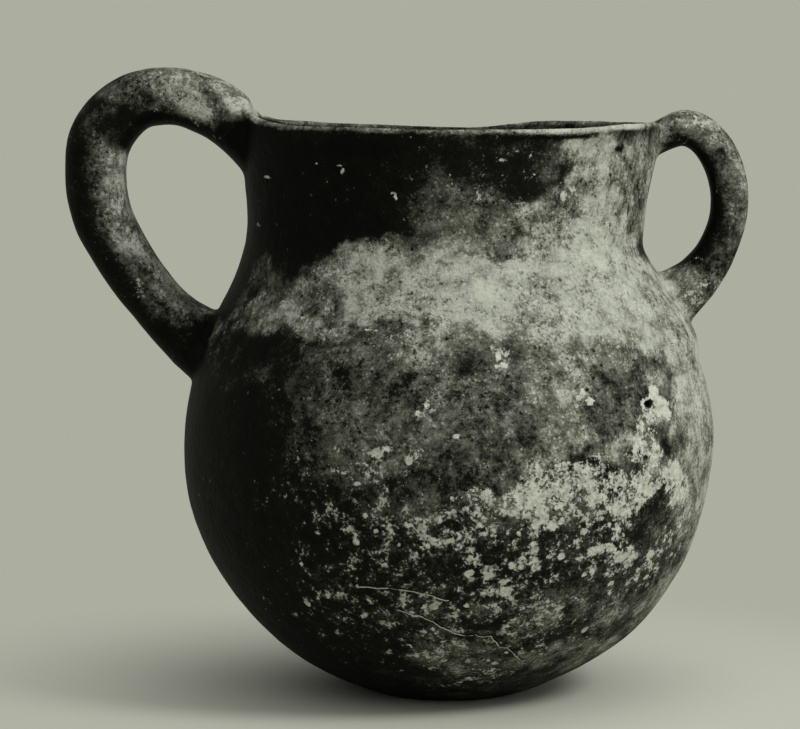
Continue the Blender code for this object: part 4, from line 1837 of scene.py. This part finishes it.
    def cracks(
        self, tree: bpy.types.NodeTree, place: bpy.types.NodeSocket, tone: bpy.types.NodeSocket
    ) -> bpy.types.NodeSocket:
        """Gives the cracks a dark bottom and, along one side, a broken chalky edge."""
        side = self.read(tree, "crack_side")
        near = self.read(tree, "crack_near")
        here = add(tree, "ShaderNodeMath", {0: near, 1: 0.72}, operation="GREATER_THAN").outputs[0]
        change = 0.0
        for middle, half, gain in ((0.075, 0.07, 0.8), (0.0, 0.05, -1.2)):
            away = add(tree, "ShaderNodeMath", {0: side, 1: 0.5 + middle}, operation="SUBTRACT").outputs[0]
            away = add(tree, "ShaderNodeMath", {0: away}, operation="ABSOLUTE").outputs[0]
            sockets = {"Value": away, "From Min": half, "From Max": half * 0.4}
            line = add(tree, "ShaderNodeMapRange", sockets).outputs[0]
            sockets = {0: line, 1: gain, 2: change}
            change = add(tree, "ShaderNodeMath", sockets, operation="MULTIPLY_ADD").outputs[0]
        breaks = self.grain(tree, place, 3.5 * MM, 3.0, 0.6)
        sockets = {"Value": breaks, "From Min": 0.35, "From Max": 0.48, "To Min": 0.3, "To Max": 1.0}
        breaks = add(tree, "ShaderNodeMapRange", sockets).outputs[0]
        here = add(tree, "ShaderNodeMath", {0: here, 1: breaks}, operation="MULTIPLY").outputs[0]
        return add(tree, "ShaderNodeMath", {0: change, 1: here, 2: tone}, operation="MULTIPLY_ADD").outputs[0]

    def dusted(
        self,
        tree: bpy.types.NodeTree,
        place: bpy.types.NodeSocket,
        tone: bpy.types.NodeSocket,
        lime: bpy.types.NodeSocket,
    ) -> bpy.types.NodeSocket:
        """Lays a grey veil of lime dust between the flakes of the crust."""
        patches = self.grain(tree, place, 5 * MM, 5.0, 0.65)
        sockets = {"Value": patches, "From Min": 0.36, "From Max": 0.66, "To Min": 0.12, "To Max": 0.8}
        patches = add(tree, "ShaderNodeMapRange", sockets).outputs[0]
        veil = add(tree, "ShaderNodeMath", {0: patches, 1: lime}, operation="MULTIPLY").outputs[0]
        return add(tree, "ShaderNodeMath", {0: tone, 1: veil}, operation="MAXIMUM").outputs[0]

    def spots(
        self,
        tree: bpy.types.NodeTree,
        place: bpy.types.NodeSocket,
        spacing: float,
        reach: tuple[float, float],
        chance: bpy.types.NodeSocket | float,
    ) -> bpy.types.NodeSocket:
        """Scatters ragged round spots.

        Args:
            tree: the material's node tree.
            place: where on the piece.
            spacing: mean distance between places where a spot may be, in metres.
            reach: radius of the smallest and of the largest spot, as a share of the spacing.
            chance: share of the places that have a spot.

        Returns:
            1 on a spot and 0 beside it.
        """
        cells = add(tree, "ShaderNodeTexVoronoi", {"Vector": place, "Scale": 1.0 / spacing})
        draw = add(tree, "ShaderNodeSeparateColor", {0: cells.outputs["Color"]})
        sockets = {"Value": draw.outputs[0], "To Min": reach[0], "To Max": reach[1]}
        radius = add(tree, "ShaderNodeMapRange", sockets).outputs[0]
        edge = self.grain(tree, place, spacing * 0.3, 3.0, 0.6)
        away = self.sums(tree, cells.outputs["Distance"], (edge, 0.5))
        over = add(tree, "ShaderNodeMath", {0: radius, 1: away}, operation="SUBTRACT").outputs[0]
        spot = add(
            tree,
            "ShaderNodeMapRange",
            {"Value": over, "From Min": -0.03, "From Max": 0.06},
            interpolation_type="SMOOTHSTEP",
        ).outputs[0]
        present = add(
            tree, "ShaderNodeMath", {0: chance, 1: draw.outputs[1]}, operation="GREATER_THAN"
        ).outputs[0]
        return add(tree, "ShaderNodeMath", {0: spot, 1: present}, operation="MULTIPLY").outputs[0]

    def crust_mask(
        self, tree: bpy.types.NodeTree, place: bpy.types.NodeSocket, lime: bpy.types.NodeSocket
    ) -> bpy.types.NodeSocket:
        """Turns the painted cover of lime into spots with sharp, ragged edges."""
        spots = self.sums(
            tree,
            0.5,
            (self.grain(tree, place, self.crust_size, 6.0, 0.62), 1.1),
            (self.grain(tree, place, self.crust_size * 0.25, 3.0, 0.6), 0.4),
        )
        bar = add(tree, "ShaderNodeMath", {0: lime, 1: -0.54, 2: 0.80}, operation="MULTIPLY_ADD").outputs[0]
        over = add(tree, "ShaderNodeMath", {0: spots, 1: bar}, operation="SUBTRACT").outputs[0]
        return add(
            tree,
            "ShaderNodeMapRange",
            {"Value": over, "From Min": -0.03, "From Max": 0.11, "To Min": 0.0, "To Max": 1.0},
            interpolation_type="SMOOTHSTEP",
        ).outputs[0]

    def colour(
        self,
        tree: bpy.types.NodeTree,
        place: bpy.types.NodeSocket,
        tone: bpy.types.NodeSocket,
        mask: bpy.types.NodeSocket,
    ) -> bpy.types.NodeSocket:
        """Gives each tone its colour and lays the lime over it."""
        ramp = add(tree, "ShaderNodeValToRGB", {0: tone})
        stops = ramp.color_ramp.elements
        while len(stops) < len(self.tones):
            stops.new(0.5)
        for stop, (place_on_ramp, hex_colour) in zip(stops, self.tones):
            stop.position = place_on_ramp
            stop.color = linear(hex_colour)
        dust = self.grain(tree, place, 2.4 * MM, 4.0, 0.6)
        thin = add(
            tree, "ShaderNodeMapRange", {"Value": dust, "From Min": 0.38, "From Max": 0.58, "To Min": 0.55, "To Max": 1.0}
        ).outputs[0]
        cover = add(tree, "ShaderNodeMath", {0: mask, 1: thin}, operation="MULTIPLY").outputs[0]
        sockets = {0: cover, 6: ramp.outputs[0], 7: linear(self.lime_colour)}
        return add(tree, "ShaderNodeMix", sockets, data_type="RGBA").outputs[2]

    def relief(
        self,
        tree: bpy.types.NodeTree,
        place: bpy.types.NodeSocket,
        tone: bpy.types.NodeSocket,
        mask: bpy.types.NodeSocket,
    ) -> bpy.types.NodeSocket:
        """Raises the crust, roughens the worn slip and leaves the burnished slip smooth."""
        grit = self.sums(
            tree,
            0.0,
            (self.grain(tree, place, 0.9 * MM, 3.0, 0.6), 0.5),
            (self.grain(tree, place, 3.0 * MM, 3.0, 0.6), 1.3),
        )
        sockets = {"Value": tone, "From Min": 0.05, "From Max": 0.4, "To Min": 0.4, "To Max": 1.0}
        worn = add(tree, "ShaderNodeMapRange", sockets).outputs[0]
        grit = add(tree, "ShaderNodeMath", {0: grit, 1: worn}, operation="MULTIPLY").outputs[0]
        height = add(tree, "ShaderNodeMath", {0: mask, 1: 0.45, 2: grit}, operation="MULTIPLY_ADD").outputs[0]
        sockets = {"Height": height, "Strength": 0.85, "Distance": 0.8 * MM}
        return add(tree, "ShaderNodeBump", sockets).outputs[0]


# Studio and camera


@dataclass(frozen=True)
class Studio:
    """A pale table top, one soft lamp in front on the right and a fill from overhead."""

    table_colour: str = "#bbbdaf"
    backdrop_colour: str = "#acafa0"
    table_reach: float = 8.0
    near: float = 0.09
    far: float = 0.28
    key_power: float = 18.5
    key_size: float = 0.6
    key_place: tuple[float, float, float] = (1.2, -0.8, 1.3)
    key_aim: tuple[float, float, float] = (0.0, 0.0, 0.12)
    fill_low: float = 0.02
    fill_high: float = 1.22
    fill_gather: float = 1.0
    fill_from: tuple[float, float, float] = (0.3, -0.3, 0.906)

    def build(self) -> None:
        """Sets up the table, the lamp and the world."""
        self.table()
        self.lamp()
        self.world()

    def table(self) -> None:
        """Lays a wide table top that fades into the backdrop away from the jar."""
        deselect_all()
        bpy.ops.mesh.primitive_circle_add(vertices=96, radius=self.table_reach, fill_type="NGON")
        top = bpy.context.object
        top.name = "table_top"
        material = bpy.data.materials.new("table_paper")
        material.use_nodes = True
        tree = material.node_tree
        tree.nodes.clear()
        place = add(tree, "ShaderNodeTexCoord").outputs["Object"]
        away = add(tree, "ShaderNodeVectorMath", {0: place}, operation="LENGTH").outputs["Value"]
        fade = add(
            tree,
            "ShaderNodeMapRange",
            {"Value": away, "From Min": self.near, "From Max": self.far, "To Min": 0.0, "To Max": 1.0},
            interpolation_type="SMOOTHSTEP",
        ).outputs[0]
        path = add(tree, "ShaderNodeLightPath")
        seen = add(
            tree,
            "ShaderNodeMath",
            {0: path.outputs["Is Camera Ray"], 1: path.outputs["Is Glossy Ray"]},
            operation="MAXIMUM",
        ).outputs[0]
        share = add(tree, "ShaderNodeMath", {0: seen, 1: fade}, operation="MULTIPLY").outputs[0]
        paper = add(tree, "ShaderNodeBsdfDiffuse", {"Color": linear(self.table_colour)}).outputs[0]
        glow = add(tree, "ShaderNodeEmission", {"Color": linear(self.backdrop_colour), "Strength": 1.0}).outputs[0]
        mixed = add(tree, "ShaderNodeMixShader", {0: share, 1: paper, 2: glow}).outputs[0]
        add(tree, "ShaderNodeOutputMaterial", {"Surface": mixed})
        top.data.materials.append(material)

    def lamp(self) -> None:
        """Hangs the soft lamp."""
        data = bpy.data.lights.new("key", "AREA")
        data.shape = "DISK"
        data.size = self.key_size
        data.energy = self.key_power
        key = bpy.data.objects.new("key", data)
        bpy.context.scene.collection.objects.link(key)
        key.location = self.key_place
        towards = Vector(self.key_aim) - Vector(self.key_place)
        key.rotation_euler = towards.to_track_quat("-Z", "Y").to_euler()

    def world(self) -> None:
        """Gives a fill that is brighter overhead, and the backdrop colour where the camera looks past the table."""
        world = bpy.data.worlds.new("studio")
        bpy.context.scene.world = world
        world.use_nodes = True
        tree = world.node_tree
        tree.nodes.clear()
        path = add(tree, "ShaderNodeLightPath")
        seen = add(
            tree,
            "ShaderNodeMath",
            {0: path.outputs["Is Camera Ray"], 1: path.outputs["Is Glossy Ray"]},
            operation="MAXIMUM",
        ).outputs[0]
        way = add(tree, "ShaderNodeTexCoord").outputs["Generated"]
        sockets = {0: way, 1: self.fill_from}
        share = add(tree, "ShaderNodeVectorMath", sockets, operation="DOT_PRODUCT").outputs["Value"]
        share = add(tree, "ShaderNodeMath", {0: share, 1: 0.0}, operation="MAXIMUM").outputs[0]
        share = add(tree, "ShaderNodeMath", {0: share, 1: self.fill_gather}, operation="POWER").outputs[0]
        sockets = {"Value": share, "To Min": self.fill_low, "To Max": self.fill_high}
        grey = add(tree, "ShaderNodeMapRange", sockets).outputs[0]
        sockets = {0: seen, 6: grey, 7: linear(self.backdrop_colour)}
        colour = add(tree, "ShaderNodeMix", sockets, data_type="RGBA").outputs[2]
        sky = add(tree, "ShaderNodeBackground", {"Color": colour, "Strength": 1.0}).outputs[0]
        add(tree, "ShaderNodeOutputWorld", {"Surface": sky})


@dataclass(frozen=True)
class ViewPoint:
    """The camera, a little above the rim and tipped down, as far off as the photographer stood."""

    place: tuple[float, float, float] = (0.0, -1.3, 0.248)
    tip_down: float = 4.8888
    turn_left: float = 0.88385
    lens: float = 140.23
    sensor: float = 36.0

    def build(self) -> None:
        """Makes the scene's camera."""
        data = bpy.data.cameras.new("camera")
        data.sensor_width = self.sensor
        data.lens = self.lens
        camera = bpy.data.objects.new("camera", data)
        camera.location = self.place
        camera.rotation_euler = (math.radians(90 - self.tip_down), 0.0, math.radians(self.turn_left))
        bpy.context.scene.collection.objects.link(camera)
        bpy.context.scene.camera = camera


@dataclass
class Jar:
    """The whole jar: built as one skin, parted, painted and dressed."""

    wall: Wall
    coils: tuple[Coil, ...]
    sharp_angle: float = 62.0

    def build(self) -> list[bpy.types.Object]:
        """Builds every piece, hides the node that it stands for and logs the pair.

        Returns:
            The pieces.
        """
        skin = Skin(self.wall, self.coils).build()
        log.info("skin worked: %d points", len(skin.data.vertices))
        parts = Parting(self.wall).build(skin)
        finishes = {slot: SmokedClay(slot.value).build() for slot in Slot}
        weathering = Weathering(self.wall)
        pieces = []
        for piece, node, slot in parts:
            self.dress(piece, finishes[slot], weathering)
            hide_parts(node)
            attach(piece, BODY)
            log.info("%s stands for %s: %d faces", piece.name, node, len(piece.data.polygons))
            pieces.append(piece)
        return pieces

    def dress(self, piece: bpy.types.Object, finish: bpy.types.Material, weathering: Weathering) -> None:
        """Cleans a piece, shades it smooth, paints it and gives it its finish."""
        piece.vertex_groups.clear()
        take_up(piece)
        bpy.ops.object.shade_smooth_by_angle(angle=math.radians(self.sharp_angle))
        weathering.build(piece)
        piece.data.materials.clear()
        piece.data.materials.append(finish)


def set_display() -> None:
    """Shows colours as they are written."""
    bpy.context.scene.view_settings.view_transform = "Standard"


def main() -> None:
    """Loads the frame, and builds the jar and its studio."""
    logging.basicConfig(level=logging.INFO, format="%(name)s: %(message)s")
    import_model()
    set_display()
    ViewPoint().build()
    Studio().build()
    Jar(Wall(), (LARGE_COIL, SMALL_COIL)).build()


if __name__ == "__main__":
    main()
